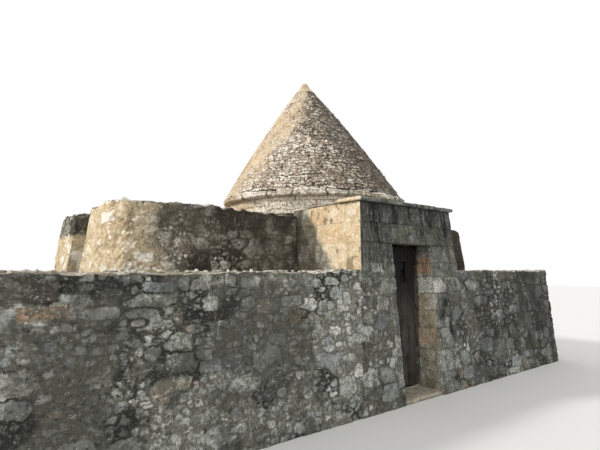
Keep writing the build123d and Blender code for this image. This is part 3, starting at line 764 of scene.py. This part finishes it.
def portal_laying(p):
    """Field stones up to the ledge's level and squared blocks above it, worn and partly under mortar."""
    x, z = p.x, p.z
    bend = p.rough(0.2, 3, 32)
    low = mixed_stones(p.u + p.ragged(132), p.v + p.ragged(142, 0.03), 0.16, 0.27, 34, 0.4)
    courses = [0, 0.28, 0.55, 0.83, 1.05, 1.275, 1.50, 1.68, 1.914, 2.16, 2.405]
    high = squared_stones(p.u + p.ragged(32, 0.03), p.v + p.ragged(33, 0.014, 0.008), courses, 0.42, 35, uneven=0.7)
    reach = 1.0 + 0.24 * rough(p.place * (0, 0, 1), 0.22, 2, 50)
    jamb = ease(x, JAMB_RIGHT - 0.02, JAMB_RIGHT) * (1 - ease(x + 0.05 * bend, reach, reach + 0.05))
    jamb = np.maximum(jamb, ease(x, -0.12, -0.10) * (1 - ease(x, 0.1, 0.12)) * ease(z, 0.2, 0.4))
    dressed = (z + 0.05 * bend > 1.47) | (jamb > 0.5) | (p.nx > 0.7)
    hollow = p.opened(134, 0.36) * np.where(dressed, 0.6, 1.0)
    depth, f = bedded(chosen(dressed, low, high), 34, 0.018, 0.014, 0.008, 0.04, hollow)
    depth = smear(depth, f, p, 0.12, 36)
    dark_and_warm(f, p, 37, 0.5)

    # The side in warm colours, partly bleaching and partly painted sunlight; its corner behind takes a
    # painted shadow of the upper tier, a diagonal line down and forward past which the cold colours stay
    sunlit = f.warm * ease(z, 1.50, 1.56) * ease(-x, 0.45, 0.5)
    f.tone = np.where(dressed & (z > 1.4), 0.1 + 0.5 * f.tone, f.tone)
    f.kind = np.where(dressed, 0.25 + (0.4 + 0.5 * sunlit) * f.kind, np.minimum(f.kind, 0.93))
    side = sunlit * (1 - 0.8 * ease(p.y + 1.60 + 0.75 * (2.38 - z) + 0.06 * bend, -0.05, 0.09))
    f.tone = f.tone + side * (0.9 * (f.tone - 0.35) - 0.08)
    f.hollow = np.maximum(f.hollow, 0.9 * side * ease(p.rough(0.2, 2, 60), -0.1, 0.3))

    # The chalky right jamb, a pale block in the left pier and the colours of the right reveal, partly painted sunlight
    front = ease(-p.ny, 0.2, 0.6)
    chalky = ease(x, 0.70, 0.74) * (1 - ease(x + 0.2 * bend, 0.95, 1.2)) * ease(1.82 - z + 0.1 * bend, 0, 0.12)
    chalky = chalky * (ease(z + 0.16 * bend, 1.05, 1.34) + 0.25 * ease(z + 0.1 * bend, 0.15, 0.5)) / 1.25
    reveal = ease(-p.nx, 0.5, 0.8) * ease(x, 0.5, 0.6)
    chalky = chalky * (1 - 0.85 * reveal * (1 - ease(z, 1.28, 1.32)))
    f.tone = f.tone + (0.14 + 0.8 * p.rough(0.16, 4, 43)) * chalky
    pale = within(x + 0.06 * bend, -0.33, 0.13, 0.3) * within(z + 0.05 * bend, 1.62, 0.075, 0.4) * front
    f.tone = f.tone * (1 - pale) + 1.15 * pale
    edge = z + 0.06 * bend
    red = ease(edge, 1.50, 1.56) * ease(1.78 - z + 0.1 * bend, 0, 0.08) * ease(p.rough(0.16, 3, 47), -0.35, 0.0)
    tan = ease(edge, 0.5, 0.6) * ease(1.29 - z + 0.06 * bend, 0, 0.05)
    f.kind = f.kind * (1 - reveal) + reveal * (0.5 + 0.6 * red + 0.3 * tan + 0.25 * tan * f.kind)
    f.tone = f.tone * (1 - 0.4 * reveal) + reveal * (0.45 * ease(1.8 - z, 0, 0.2) - 0.2 * red)
    # The reveal's share of the warm colours is painted sunlight over its tan stone
    f.warm = np.maximum(side, reveal * (0.22 + 0.2 * tan) * ease(1.86 - z, 0, 0.15))

    # Old coating, and the dark streaks, patches and stains
    above = ease(z + 0.1 * bend, 1.55, 1.75) * ease(p.rough(0.25, 3, 40), -0.9, 0.1) * (1 - 0.8 * chalky) * (1 - reveal)
    f.coat = above * (0.5 * front + 0.3 * side * ease(p.rough(0.22, 4, 49), -0.25, 0.35))
    streaks = rough(p.place * (3.2, 3.2, 0.3), 0.25, 4, 38)
    patches = sum(np.exp(-((x - at + 0.02 * bend) / wide) ** 2) * ease(z, 2.0, 2.14) for at, wide in
                  ((-0.28, 0.065), (0.07, 0.035), (0.79, 0.07), (1.15, 0.045)))
    soot = 0.25 + 0.4 * ease(z, 1.7, 2.1) + 0.9 * ease(streaks, 0.0, 0.4) * ease(z, 1.5, 2.0) + 3.2 * patches
    spots = sum(np.exp(-((x - at + 0.1 * bend) / wide) ** 2 - ((z - level + 0.1 * bend) / tall) ** 2)
                for at, wide, level, tall in (
                    (0.97, 0.10, 1.13, 0.13), (1.07, 0.05, 0.76, 0.12), (0.9, 0.05, 0.98, 0.05)))
    soot = soot * (1 - 0.8 * chalky) * (1 - 0.45 * side) * (1 - 0.9 * reveal) + 1.5 * spots * front
    stains = 1.5 * side * ease(p.rough(0.13, 4, 61), 0.12, 0.4) + 0.5 * reveal * ease(z, 1.72, 1.9)
    f.soot = np.clip(soot + stains, 0, 1.8)
    return depth + p.belly(0.012, 39) + 0.006 * p.rough(0.06, 3, 41), f


# Both tiers' walls, laid round the building from the portal's right side

def round_the_tier(left, front, right, back, low, high, curve, batter, cut):
    """A tier's corners from the portal's right side to its left: round ones, and places where walls meet.

    Low and high are the y of the inner rectangle. The ends are cut back into the portal's sides.
    """
    return ((PORTAL_RIGHT - cut, front, 0, -BATTER, batter), (right, front, curve, 0, 0, batter),
            (right, low, 0, -batter), (right, high, 0, -batter), (right, back, curve, 0, 0, batter),
            (left, back, curve, 0, 0, batter), (left, high, 0, batter), (left, low, 0, batter),
            (left, front, curve, 0, 0, batter), (PORTAL_LEFT + cut, front, 0, BATTER, batter))


run = 0.0
way = round_the_tier(LEFT, FRONT, RIGHT, BACK, INNER_LOW[1], INNER_HIGH[1], LOWER_CURVE, BATTER, 0.028)
for part, node, step, corners in (
        ("front_right", "lower_front_wall_right", 0.0142, way[:3]), ("right", "lower_right_wall", 0.028, way[2:4]),
        ("back", "lower_back_wall", 0.033, way[3:7]), ("left", "lower_left_wall", 0.028, way[6:8]),
        ("front_left", "lower_front_wall_left", 0.0125, way[7:])):
    run = wall("lower_wall_" + part, [node], corners, (0.0, WALL_TOP), (INNER_LOW, INNER_HIGH), lower_laying,
               lower_finish, step, run, brow=0.03, sink=-0.12, dip=0.3)

run = 0.0
way = round_the_tier(UPPER_LEFT, UPPER_FRONT, UPPER_RIGHT, UPPER_BACK, UPPER_LOW[1], UPPER_HIGH[1], UPPER_CURVE,
                     UPPER_BATTER, BATTER * LEDGE)
whole = (UPPER_LOW, UPPER_HIGH)
rear_cheek, front_cheek = ((UPPER_LEFT, y, 0.03, UPPER_BATTER) for y in (STAIR_HIGH, STAIR_LOW))
for part, nodes, step, inner, corners in (
        ("front_right", ["upper_front_wall_right"], 0.018, whole, way[:3]),
        ("right", ["upper_right_wall"], 0.028, whole, way[2:4]),
        ("back", ["upper_back_wall"], 0.028, whole, way[3:7]),
        ("flank_rear", ["upper_left_wall_rear"], 0.013, ((FLANK, 0.5), (0, UPPER_HIGH[1])),
         (way[6], rear_cheek, (FLANK, STAIR_HIGH))),
        ("front_left", ["upper_front_wall_left", "upper_left_wall_front"], 0.0128, (UPPER_LOW, (UPPER_HIGH[0], -0.7)),
         ((FLANK, STAIR_LOW), front_cheek, *way[8:]))):
    run = wall("upper_wall_" + part, nodes, corners, (LEDGE, PARAPET), inner, upper_laying, upper_finish, step,
               run, brow=0.075, sink=0.5, dip=2.0)


# The portal: piers, lintel, top course, cornice and roof slabs

def pier(side, beside_door, beside_lintel):
    """A door pier from the corners of its lower and its upper part."""
    shells = [column(beside_door, 0.0, DOOR_HEAD, portal_laying, 0.0158),
              column(beside_lintel, DOOR_HEAD, LINTEL_TOP, portal_laying, 0.0158)]
    piece("portal_%s_pier_stone" % side, join(shells), portal_finish, "dressed_stone", "portal_pier_" + side)


outside = ((-0.55, PORTAL_BACK + 0.05), (PORTAL_LEFT, PORTAL_BACK + 0.05, 0.01, BATTER),
           (PORTAL_LEFT, FRONT, 0.022, BATTER, BATTER))
inside = (PASSAGE_LEFT, -1.62, 0.01)
pier("left", (*outside, (JAMB_LEFT, FRONT, 0.018, 0, BATTER), (JAMB_LEFT, DOOR_PLANE, 0.008),
              (PASSAGE_LEFT, DOOR_PLANE + 0.005, 0.008), inside),
     (*outside, (-0.247, FRONT, 0.012, 0, BATTER), (-0.247, LINTEL_BACK, 0.01), (PASSAGE_LEFT, LINTEL_BACK, 0.01),
      inside))
outside = ((PORTAL_RIGHT, FRONT, 0.025, -BATTER, BATTER), (PORTAL_RIGHT, -1.5, 0.01, -BATTER))
inside = (PASSAGE_RIGHT, -1.78, 0.01)
pier("right", ((1.45, -1.5), inside, (PASSAGE_RIGHT, DOOR_PLANE + 0.005, 0.008), (JAMB_RIGHT, DOOR_PLANE, 0.008),
               (JAMB_RIGHT, FRONT, 0.03, 0, BATTER), *outside),
     ((1.30, -1.5), inside, (PASSAGE_RIGHT, LINTEL_BACK, 0.01), (0.993, LINTEL_BACK, 0.01),
      (0.993, FRONT, 0.012, 0, BATTER), *outside))


def lintel_laying(p):
    """One smooth, slightly hollowed beam of stone."""
    f = plain(tone=0.35, kind=0.2, coat=ease(p.rough(0.2, 3, 41), -0.9, 0.1))
    dark_and_warm(f, p, 42)
    f.warm, f.soot = 0, 0.2 + 0.5 * f.soot
    f.tone = f.tone + 0.5 * ease(-p.v, -1.96, -1.93)
    return -0.004 - 0.004 * p.rough(0.12, 3, 43), f


lintel = column([(0.99, -2.30), (-0.244, -2.30, 0.01), (-0.244, FRONT, 0.008, 0, BATTER),
                 (0.99, FRONT, 0.008, 0, BATTER)], DOOR_HEAD + 0.002, LINTEL_TOP - 0.003, lintel_laying, 0.012)
piece("door_lintel_stone", lintel, portal_finish, "dressed_stone", "door_lintel")
top = column([(1.2, -1.3), (PORTAL_LEFT, -1.3, 0.01, BATTER), (PORTAL_LEFT, FRONT, 0.022, BATTER, BATTER),
              (PORTAL_RIGHT, FRONT, 0.022, -BATTER, BATTER), (PORTAL_RIGHT, -1.3, 0.01, -BATTER)],
             LINTEL_TOP, PORTAL_TOP, portal_laying, 0.0130)
piece("portal_top_blocks", top, portal_finish, "dressed_stone", "portal_top_course")

inset = BATTER * PORTAL_TOP
left, right = PORTAL_LEFT + inset - 0.035, PORTAL_RIGHT - inset + 0.035
edge, deep = FRONT + inset - 0.035, 0.415
cuts = [left, -0.02, 0.46, 0.93, right]
rows = [((a + b) / 2, edge + 0.207, PORTAL_TOP + 0.0275 - 0.002 * (i % 2), b - a - 0.004, deep, 0.055 - 0.004 * (i % 2))
        for i, (a, b) in enumerate(zip(cuts, cuts[1:]))]
slabs = blocks(rows, 0.017, 0.014, 0.008, 7, 0.02)
# The slabs' left ends take the warm colours: partly bleaching, partly painted sunlight
for points, _, looks in slabs:
    looks.update(soot=ease(rough(points, 0.3, 3, 44), -0.1, 0.6) * 0.7, coat=0.3 + 0.2 * rough(points, 0.2, 3, 45),
                 tone=0.55 + 0.3 * looks["tone"],
                 warm=ease(-points[:, 0] + 0.01 * rough(points, 0.1, 2, 46), 0.548, 0.562))
piece("portal_cornice_slabs", join(slabs), portal_finish, "dressed_stone", "portal_cornice")

rows = []
for j, (a, b) in enumerate(((edge + deep, -1.86), (-1.86, -1.56))):
    cuts = [left + 0.035, -0.1 - 0.1 * j, 0.34, 0.85 + 0.09 * j, right - 0.035]
    rows += [((c + d) / 2, (a + b) / 2, PORTAL_TOP + 0.018 + 0.003 * ((i + j) % 2), d - c - 0.008, b - a - 0.008, 0.036)
             for i, (c, d) in enumerate(zip(cuts, cuts[1:]))]
sill = [(0.14, -2.60, 0.030, 0.262, 0.365, 0.058), (0.51, -2.60, 0.030, 0.455, 0.365, 0.058),
        (0.373, -2.335, 0.030, 0.94, 0.145, 0.056)]
paving = [("portal_roof_slabs", blocks(rows, 0.03, 0.012, 0.008, 11), "portal_roof"),
          ("threshold_stones", blocks(sill, 0.02, 0.014, 0.010, 13), "threshold")]

# The stair: solid steps between the cheeks, which are faced where the fill is cut

rise = (TERRACE - LEDGE) / 3
middle = STAIR_LOW + 0.35
for number in range(3):
    start = UPPER_LEFT + 0.13 + 0.26 * number
    rows = [((a + STAIR_END) / 2, (low + high) / 2, LEDGE + (number + 0.5) * rise, STAIR_END - a, high - low - 0.006,
             rise - less)
            for a, low, high, less in ((start, STAIR_LOW, middle, 0.004), (start + 0.008, middle, STAIR_HIGH, 0.008))]
    paving.append(("stair_stones_%d" % (number + 1), blocks(rows, 0.03, 0.016, 0.012, 17 + number),
                   "stair_step_%d" % (number + 1)))
for name, shells, node in paving:
    piece(name, join(shells), earth_finish, "dressed_stone", node)


def facing_laying(p):
    """The upper tier's laying, which goes no deeper than the facing is thick."""
    depth, f = upper_laying(p)
    return np.maximum(depth, -0.03), f


mouth, near, far = FLANK + 0.01, 0.02, 0.05
ring = column([
    (mouth, STAIR_HIGH - near), (STAIR_END - near, STAIR_HIGH - near, 0.012),
    (STAIR_END - near, STAIR_LOW + near, 0.012), (mouth, STAIR_LOW + near), (mouth, STAIR_LOW - far),
    (STAIR_END + far, STAIR_LOW - far), (STAIR_END + far, STAIR_HIGH + far), (mouth, STAIR_HIGH + far)],
    LEDGE + 0.02, TERRACE + 0.012, facing_laying, 0.022)
piece("stair_well_facing", ring, upper_finish, "rubble")


# The roof: drum, eave slabs, three bands of courses and the knob

def round_shell(low, high, radius, centre, inner, laying, columns, step):
    """A ring of masonry round an upright line that may lean.

    Outside, a point at height z and angle a is the centre at z plus the radius at z along a, moved along its
    outward direction by the relief; then the ring comes back down its inner profile.
    """
    columns = round(columns / COARSE)
    angle = 2 * pi * np.arange(columns) / columns
    z = np.linspace(low, high, max(3, round((high - low) / (step * COARSE))))
    turn = np.stack([np.cos(angle), np.sin(angle)], -1)
    slope = (radius(z + 0.01) - radius(z - 0.01)) / 0.02
    steep = np.hypot(1, slope)
    plan = np.stack(centre(z), -1) + turn[:, None] * radius(z)[:, None]
    facing = lifted(turn[:, None] / steep[:, None], -slope / steep)
    points, looks = Grid(angle[:, None] / (2 * pi), z, lifted(plan, z), facing).laid(laying)
    inside = [lifted((turn * distance + centre(height))[:, None], height) for distance, height in inner]
    for key, value in looks.items():
        hidden = {"face": 1.0, "tone": 0.4, "soot": 0.6}.get(key, 0.0)
        looks[key] = np.concatenate([value, np.full((columns, len(inner)), hidden)], 1).ravel()
    return *lattice(np.concatenate([points, *inside], 1), around=True, over=True), looks


def upright(z):
    """The room's middle, the same at every height."""
    return ROOM[0] + 0 * z, ROOM[1] + 0 * z


def leaning(z):
    """The cone's middle, which moves left and back as it rises."""
    share = (z - CONE_LOW) / (TIP - CONE_LOW)
    return tuple(at + move * share for at, move in zip(ROOM, LEAN))


def cone_radius(z):
    """The cone's outside: a straight slope plus a slight swelling, 4 b t (1 - t)."""
    share = (z - CONE_LOW) / (CONE_HIGH - CONE_LOW)
    return CONE_FOOT - NARROWING * share + 4 * SWELLING * share * (1 - share)


course_edges = np.linspace(CONE_LOW, CONE_HIGH, 43)
course_count = np.maximum(6, np.round(2 * pi * cone_radius((course_edges[1:] + course_edges[:-1]) / 2) / 0.092))


def limed(p):
    """Where lime still covers the cone: a sector on its left, narrow at the eave and wide at the tip."""
    angle = 360 * p.u
    uneven = 16 * p.rough(0.34, 5, 51)
    first, last = (np.interp(p.z, [2.745, 2.9, 3.2, 3.7, 4.5, 4.7], angles) for angles in (
        [104, 96, 84, 66, 44, 20], [176, 183, 192, 206, 228, 240]))
    return ease(angle + uneven, first - 12, first + 12) * ease(uneven - angle, -last - 12, -last + 12)


def cone_laying(p):
    """Small stones in uneven courses with open, dark joints, old lime over the left side, painted light at
    its left middle and painted shade on its right.
    """
    girth = 2 * pi * cone_radius(p.z)
    stones = squared_stones(p.u + p.ragged(52, 0.02, 0.034) / girth, p.v + p.ragged(62, 0.022, 0.034), course_edges,
                            1 / course_count, 54, course_count, girth, 0.014, 0.9)
    depth, f = bedded(stones, 54, 0.014, 0.018, 0.026, 0.3, 0.45 + 0.55 * p.opened(65, 0.5))
    hole = ease(p.rough(0.05, 2, 55), 0.22, 0.42) * (1 - f.face * 0.5)
    depth = depth - 0.016 * hole + 0.006 * p.rough(0.035, 2, 56)
    lime = limed(p)
    thin = ease(p.rough(0.16, 4, 57), -0.45, 0.35)
    depth = depth * (1 - lime * (0.4 + 0.35 * thin)) - 0.004 * lime
    depth = depth - 0.006 * (0.5 + 0.5 * p.rough(0.5, 2, 59))
    f.coat = lime * (0.45 + 0.45 * thin)
    # Painted shade over a wide sector round the right, darkest at its right edge, and painted light at the left middle
    angle, swing = 360 * p.u, 12 * p.rough(0.3, 5, 68)
    shade_sector = 1 - ease(abs(np.mod(angle - 140, 360) - 180 + swing), 25, 110)
    shade_sector = shade_sector * (0.85 + 0.25 * ease(p.z, 3.2, 4.0))
    lit_sector = (1 - ease(abs(angle - 200 + swing), 13, 42)) * (1 - ease(p.z, 3.5, 3.9))
    shaded = ease(1.5 - abs(angle - 318 + 14 * p.rough(0.3, 5, 66)) / 32, 0.1, 0.9)
    shaded = shaded * (0.75 + 0.25 * ease(p.rough(0.12, 4, 67), -0.3, 0.3))
    f.tone = f.tone * (0.75 + 0.5 * ease(p.rough(0.5, 2, 58), -0.5, 0.5)) + 0.1 + 0.34 * lit_sector - 0.2 * shaded
    f.hollow = f.hollow * (1 - 0.35 * lit_sector)
    growth = 0.7 * hole * (1 - 0.5 * lit_sector) + 0.3 * (1 - f.face) * (1 - lit_sector)
    f.soot = np.clip(growth + 0.85 * shade_sector + 0.2 * shaded, 0, 1.1)
    return depth, f


def hollow_inside(band):
    """The corbelled inside of a band: every second packed course reaches further in."""
    height = (CONE_HIGH - CONE_LOW) / 9
    for step in (2, 1, 0):
        base = CONE_LOW + (3 * band + step) * height
        radius = HOLLOW_FOOT + (HOLLOW_TOP - HOLLOW_FOOT) * (base - CONE_LOW) / (CONE_HIGH - CONE_LOW)
        yield from ((radius, base + height), (radius, base))


third = (CONE_HIGH - CONE_LOW) / 3
for band, (name, columns) in enumerate((("lower", 700), ("middle", 500), ("upper", 310))):
    shell = round_shell(CONE_LOW + band * third, CONE_LOW + (band + 1) * third, cone_radius, leaning,
                        list(hollow_inside(band)), cone_laying, columns, 0.0108)
    piece("cone_stones_" + name, shell, roof_finish, "roof_stone", "cone_" + name + "_courses")


def knob_radius(z):
    """The knob's profile: the cone's slope drawn in to a neck, then a blunt rounded tip."""
    return np.interp(z, [4.70, 4.74, 4.79, 4.83, 4.86, 4.885, 4.898, 4.9055],
                     [0.186, 0.151, 0.106, 0.078, 0.066, 0.055, 0.038, 0.012])


def knob_laying(p):
    """Smooth mortar under patchy lime, darker on its right side by painted shade."""
    lime = 1.0 - 0.5 * ease(p.rough(0.08, 3, 63), 0.1, 0.6)
    f = plain(face=0.2, kind=0.3, coat=lime, soot=0.7 * ease(p.nx, -0.2, 0.8))
    return -0.004 - 0.005 * (0.5 + 0.5 * p.rough(0.07, 3, 64)), f


knob = round_shell(4.70, 4.9055, knob_radius, leaning, [(0.002, 4.899), (0.002, 4.70)], knob_laying, 96, 0.008)
piece("cone_knob", knob, roof_finish, "roof_stone", "cone_cap")


def drum_radius(z):
    """The drum's outside, the same at every height."""
    return DRUM_RADIUS + 0.07 + 0 * z


def drum_laying(p):
    """The low drum: small reddish stones in mortar, with squared pale blocks at the left."""
    girth = 2 * pi * DRUM_RADIUS
    small = squared_stones(p.u + 0.006 * p.rough(0.1, 3, 71), p.v + 0.03 * p.rough(0.12, 3, 72),
                           [2.36, 2.455, 2.50, 2.58, 2.66], 1 / 62, 73, 62, girth, 0.014, 1.0)
    large = squared_stones(p.u, p.v, [2.38, 2.52, 2.66], 1 / 24, 74, 24, girth)
    pale = (p.u > 0.30) & (p.u < 0.56)
    depth, f = bedded(chosen(pale, small, large), 75, 0.009, 0.016, 0.016, 0.14, 0.4 * p.opened(77, 0.5))
    f.kind = np.where(pale, f.kind, 0.5 + 0.6 * f.kind)
    f.tone = 1.0 + 0.6 * f.tone
    f.coat = np.where(pale, 0.8, 0.25) * ease(p.rough(0.25, 3, 76), -0.6, 0.0)
    return depth, f


def eave_radius(z):
    """The eave's profile: its lower edge is worn round and its top runs in to the cone."""
    return EAVE_RADIUS - 0.004 - 0.028 * ease(z, 2.715, CONE_LOW) - 0.012 * ease(EAVE_LOW + 0.02 - z, 0, 0.02)


def eave_laying(p):
    """One course of large, uneven stones, some with open joints, under lime at the left, with painted shade on its
    right.
    """
    bend = p.ragged(82, 0.04, 0.03)
    girth = 2 * pi * EAVE_RADIUS
    edges = [EAVE_LOW - 0.03, CONE_LOW + 0.03]
    stones = squared_stones(p.u + bend / girth, p.v, edges, 1 / 32, 83, 32, girth, 0.02, 1.0)
    depth, f = bedded(stones, 84, 0.024, 0.036, 0.034, 0.3, 0.35 + 0.65 * p.opened(85, 0.5))
    depth = depth - 0.022 * (0.5 + 0.5 * p.rough(0.11, 4, 86)) + 0.007 * p.rough(0.05, 3, 87)
    f.tone = 0.75 + 0.5 * f.tone
    f.kind = 0.9 * f.kind
    f.coat = 0.6 * ease(p.u, 0.27, 0.31) * (1 - ease(p.u + 0.03 * bend, 0.5, 0.54))
    # Dark joints, and painted shade in a band on the right, as on the cone
    f.soot = 0.6 * (1 - f.face) + 1.0 * ease(1.4 - abs(360 * p.u - 318) / 32, 0.3, 0.75)
    return depth, f


for name, low, high, radius, within_it, laying, columns, step, slot, node in (
        ("drum_stones", PARAPET - 0.01, EAVE_LOW + 0.002, drum_radius, 0.905, drum_laying, 580, 0.014, "rubble",
         "drum_wall"),
        ("eave_slabs", EAVE_LOW, CONE_LOW - 0.001, eave_radius, 0.825, eave_laying, 800, 0.0095, "roof_stone",
         "eave_course")):
    shell = round_shell(low, high, radius, upright, [(within_it, high), (within_it, low)], laying, columns, step)
    piece(name, shell, roof_finish, slot, node)


# Earth and small stones over the ledge and the terrace, and loose stones on the walls

def cover(name, xs, ys, level, keep, seed):
    """A thin layer over a level: height is the level plus layered noise and the relief of stones set in it."""
    x, y = np.meshgrid(*(np.linspace(a, b, max(2, round((b - a) / (0.042 * COARSE)))) for a, b in (xs, ys)),
                       indexing="ij")
    place = np.stack([x, y, level + 0 * x], -1)
    p = Grid(x, y, place, 0 * place + (0, 0, 1))
    bend = p.rough(0.25, 3, seed)
    stones = mixed_stones(x + 0.05 * bend, y + 0.05 * p.rough(0.2, 3, seed + 1), 0.22, 0.27, seed, 0.5)
    depth, f = bedded(stones, seed, 0.03, 0.012, 0.010)
    depth = smear(depth, f, p, 0.42, seed + 2)
    f.soot = np.clip(0.4 + 0.9 * p.rough(0.7, 3, seed + 3), 0, 1)
    inside = keep((x[:-1, :-1] + x[1:, 1:]) / 2, (y[:-1, :-1] + y[1:, 1:]) / 2)
    shell = lattice(np.stack([x, y, level + 0.026 + depth + 0.006 * bend], -1), keep=inside)
    looks = {key: np.broadcast_to(value, x.shape).ravel() for key, value in vars(f).items()}
    thickness = piece(name, (*shell, looks), earth_finish, "fill").modifiers.new("thickness", "SOLIDIFY")
    thickness.thickness, thickness.offset = 0.03, -1


def on_ledge(x, y):
    """True outside the upper tier and the portal."""
    under = (x > UPPER_LEFT + 0.07) & (x < UPPER_RIGHT - 0.07) & (abs(y) < UPPER_BACK - 0.07)
    portal = (x > PORTAL_LEFT + 0.17) & (x < PORTAL_RIGHT - 0.17) & (y < -1)
    return ~(under | portal)


def on_terrace(x, y):
    """True outside the drum and the stair."""
    drum = np.hypot(x - ROOM[0], y - ROOM[1]) < DRUM_RADIUS - 0.08
    stair = (x < STAIR_END + 0.03) & (y > STAIR_LOW - 0.03) & (y < STAIR_HIGH + 0.03)
    return ~(drum | stair)


for name, (x0, y0), (x1, y1), level, keep, seed in (
        ("ledge_ground_", INNER_LOW, INNER_HIGH, LEDGE, on_ledge, 101),
        ("terrace_ground_", UPPER_LOW, UPPER_HIGH, TERRACE, on_terrace, 111)):
    for side, xs in (("left", (x0 - 0.02, ROOM[0])), ("right", (ROOM[0], x1 + 0.02))):
        cover(name + side, xs, (y0 - 0.02, y1 + 0.02), level, keep, seed)

# Small loose stones in lines on the walls' tops, each a worn block turned at random and half bedded
for name, first, last, y, count, level, spread, seed, finish in (
        ("front_left", -4.0, -0.8, -2.585, 56, WALL_TOP - 0.004, 0.10, 407, lower_finish),
        ("front_right", 1.6, 4.1, -2.585, 46, WALL_TOP - 0.004, 0.10, 451, lower_finish),
        ("back", -4.0, 4.0, 2.5, 70, WALL_TOP - 0.015, 0.2, 501, lower_finish),
        ("parapet", 1.5, 3.3, -1.3, 26, PARAPET - 0.015, 0.12, 551, upper_finish)):
    stones = []
    for i in range(count):
        a, b, c, d, e, f, g = (hashed(i, key, seed).item() for key in range(7))
        size = (0.028 + 0.08 * b ** 3, 0.028 + 0.05 * c * c, 0.018 + 0.03 * d ** 2)
        points, faces = worn_block(size, 0.012, 0.45 * min(size), 0.28 * min(size), seed + i, 0.01)
        angle = 6.28 * e
        turn = np.array([[cos(angle), sin(angle), 0], [-sin(angle), cos(angle), 0], [0.3 * (g - 0.5), 0, 1]])
        share = np.clip((i + 0.22 * count * (a - 0.5) ** 3 * 8) / count, 0, 1)
        points = points @ turn + (first + (last - first) * share, y + spread * (f - 0.5), level - 0.012 * g)
        stones.append((points, faces, vars(plain(tone=0.6 + 0.7 * a, kind=c * 0.9, warm=0.5 * d))))
    piece("loose_stones_" + name, join(stones), finish, "rubble")

# The door leaf: five boards, the fourth with a hole beside its edge

PITCH, BOARD = 0.1446, 0.1416
boards = []
for number in range(5):
    left = JAMB_LEFT - 0.036 + number * PITCH
    middle = left + BOARD / 2
    rows = [(middle, BOARD, 0.075, 1.895)]
    if number == 3:
        rows = [(left + 0.1228, 0.036, 1.429, 1.691), (middle, BOARD, 0.075, 1.43), (middle, BOARD, 1.69, 1.895)]
    for x, wide, low, high in rows:
        points, faces = worn_block((wide, 0.034, high - low), 0.019 * COARSE, 0.004, 0.0025, 601 + number, 0.006)
        away = 0.004 * np.sin(3.1 * points[:, 2] + number)
        points = points + (x, DOOR_PLANE + 0.0175, (low + high) / 2)
        points[:, 1] += 0.5 * away * (number % 2)
        boards.append((points, faces, dict(tone=hashed(number, 1, 602).item())))
piece("door_leaf_boards", join(boards), board_finish, "old_timber", "door_boards", body="door")

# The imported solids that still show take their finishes

for starts, finish in ((("room_wall", "vault_", "passage_lintel"), inner_finish), ("room_floor", flag_finish),
                       (("ledge_fill", "terrace_fill"), fill_finish), ("door_ledges", batten_finish),
                       (("door_straps", "door_pintles"), iron_finish)):
    for node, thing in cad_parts.items():
        if node.startswith(starts):
            for slot in thing.material_slots:
                slot.material = finish

# Floor, light and camera

bpy.ops.mesh.primitive_plane_add(size=90, location=(0, 0, -0.002))
floor = bpy.context.object
floor.name = "studio_floor"
sheet = Sheet(bpy.data.materials.new("studio_floor"))
floor.data.materials.append(sheet.finish(srgb(226, 225, 222), 0.9, 0.0, 0.001, 0.0))

scene = bpy.context.scene
sky = Sheet(scene.world or bpy.data.worlds.new("studio"))
scene.world = sky.owner
seen = [sky.make("ShaderNodeLightPath", {}, {}, ray) for ray in
        ("Is Camera Ray", "Is Glossy Ray", "Is Transmission Ray")]
seen = seen[0].work("MINIMUM", seen[0] + seen[1] + seen[2], 1.0)
light = sky.make("ShaderNodeBackground", {}, {"Color": (1, 1, 1, 1), "Strength": 0.72 + seen * 0.28})
sky.make("ShaderNodeOutputWorld", {}, {"Surface": light}, None)

# Far, soft lamps: where their light comes from, strength, softness in degrees and colour
for name, toward, strength, soft, colour in (("key", (-0.76, 0.40, 0.51), 2.0, 7, (1.0, 0.97, 0.93)),
                                             ("fill", (-0.58, -0.66, 0.48), 0.83, 60, (0.97, 0.98, 1.0)),
                                             ("back_fill", (0.3, 0.8, 0.5), 0.3, 60, (0.98, 0.98, 1.0))):
    data = bpy.data.lights.new(name, "SUN")
    data.energy, data.angle, data.color = strength, radians(soft), colour
    thing = bpy.data.objects.new(name, data)
    thing.rotation_euler = Vector(toward).to_track_quat("Z", "Y").to_euler()
    scene.collection.objects.link(thing)

camera = bpy.data.objects.new("camera", bpy.data.cameras.new("camera"))
camera.location = (-4.402, -6.266, 1.58)
camera.rotation_euler = (radians(90 + 5.72), 0, radians(51.22 - 90))
camera.data.sensor_width, camera.data.lens = 36, 27.12
camera.data.clip_end = 300
scene.collection.objects.link(camera)
scene.camera = camera
scene.view_settings.view_transform = "Standard"

bpy.context.view_layer.update()
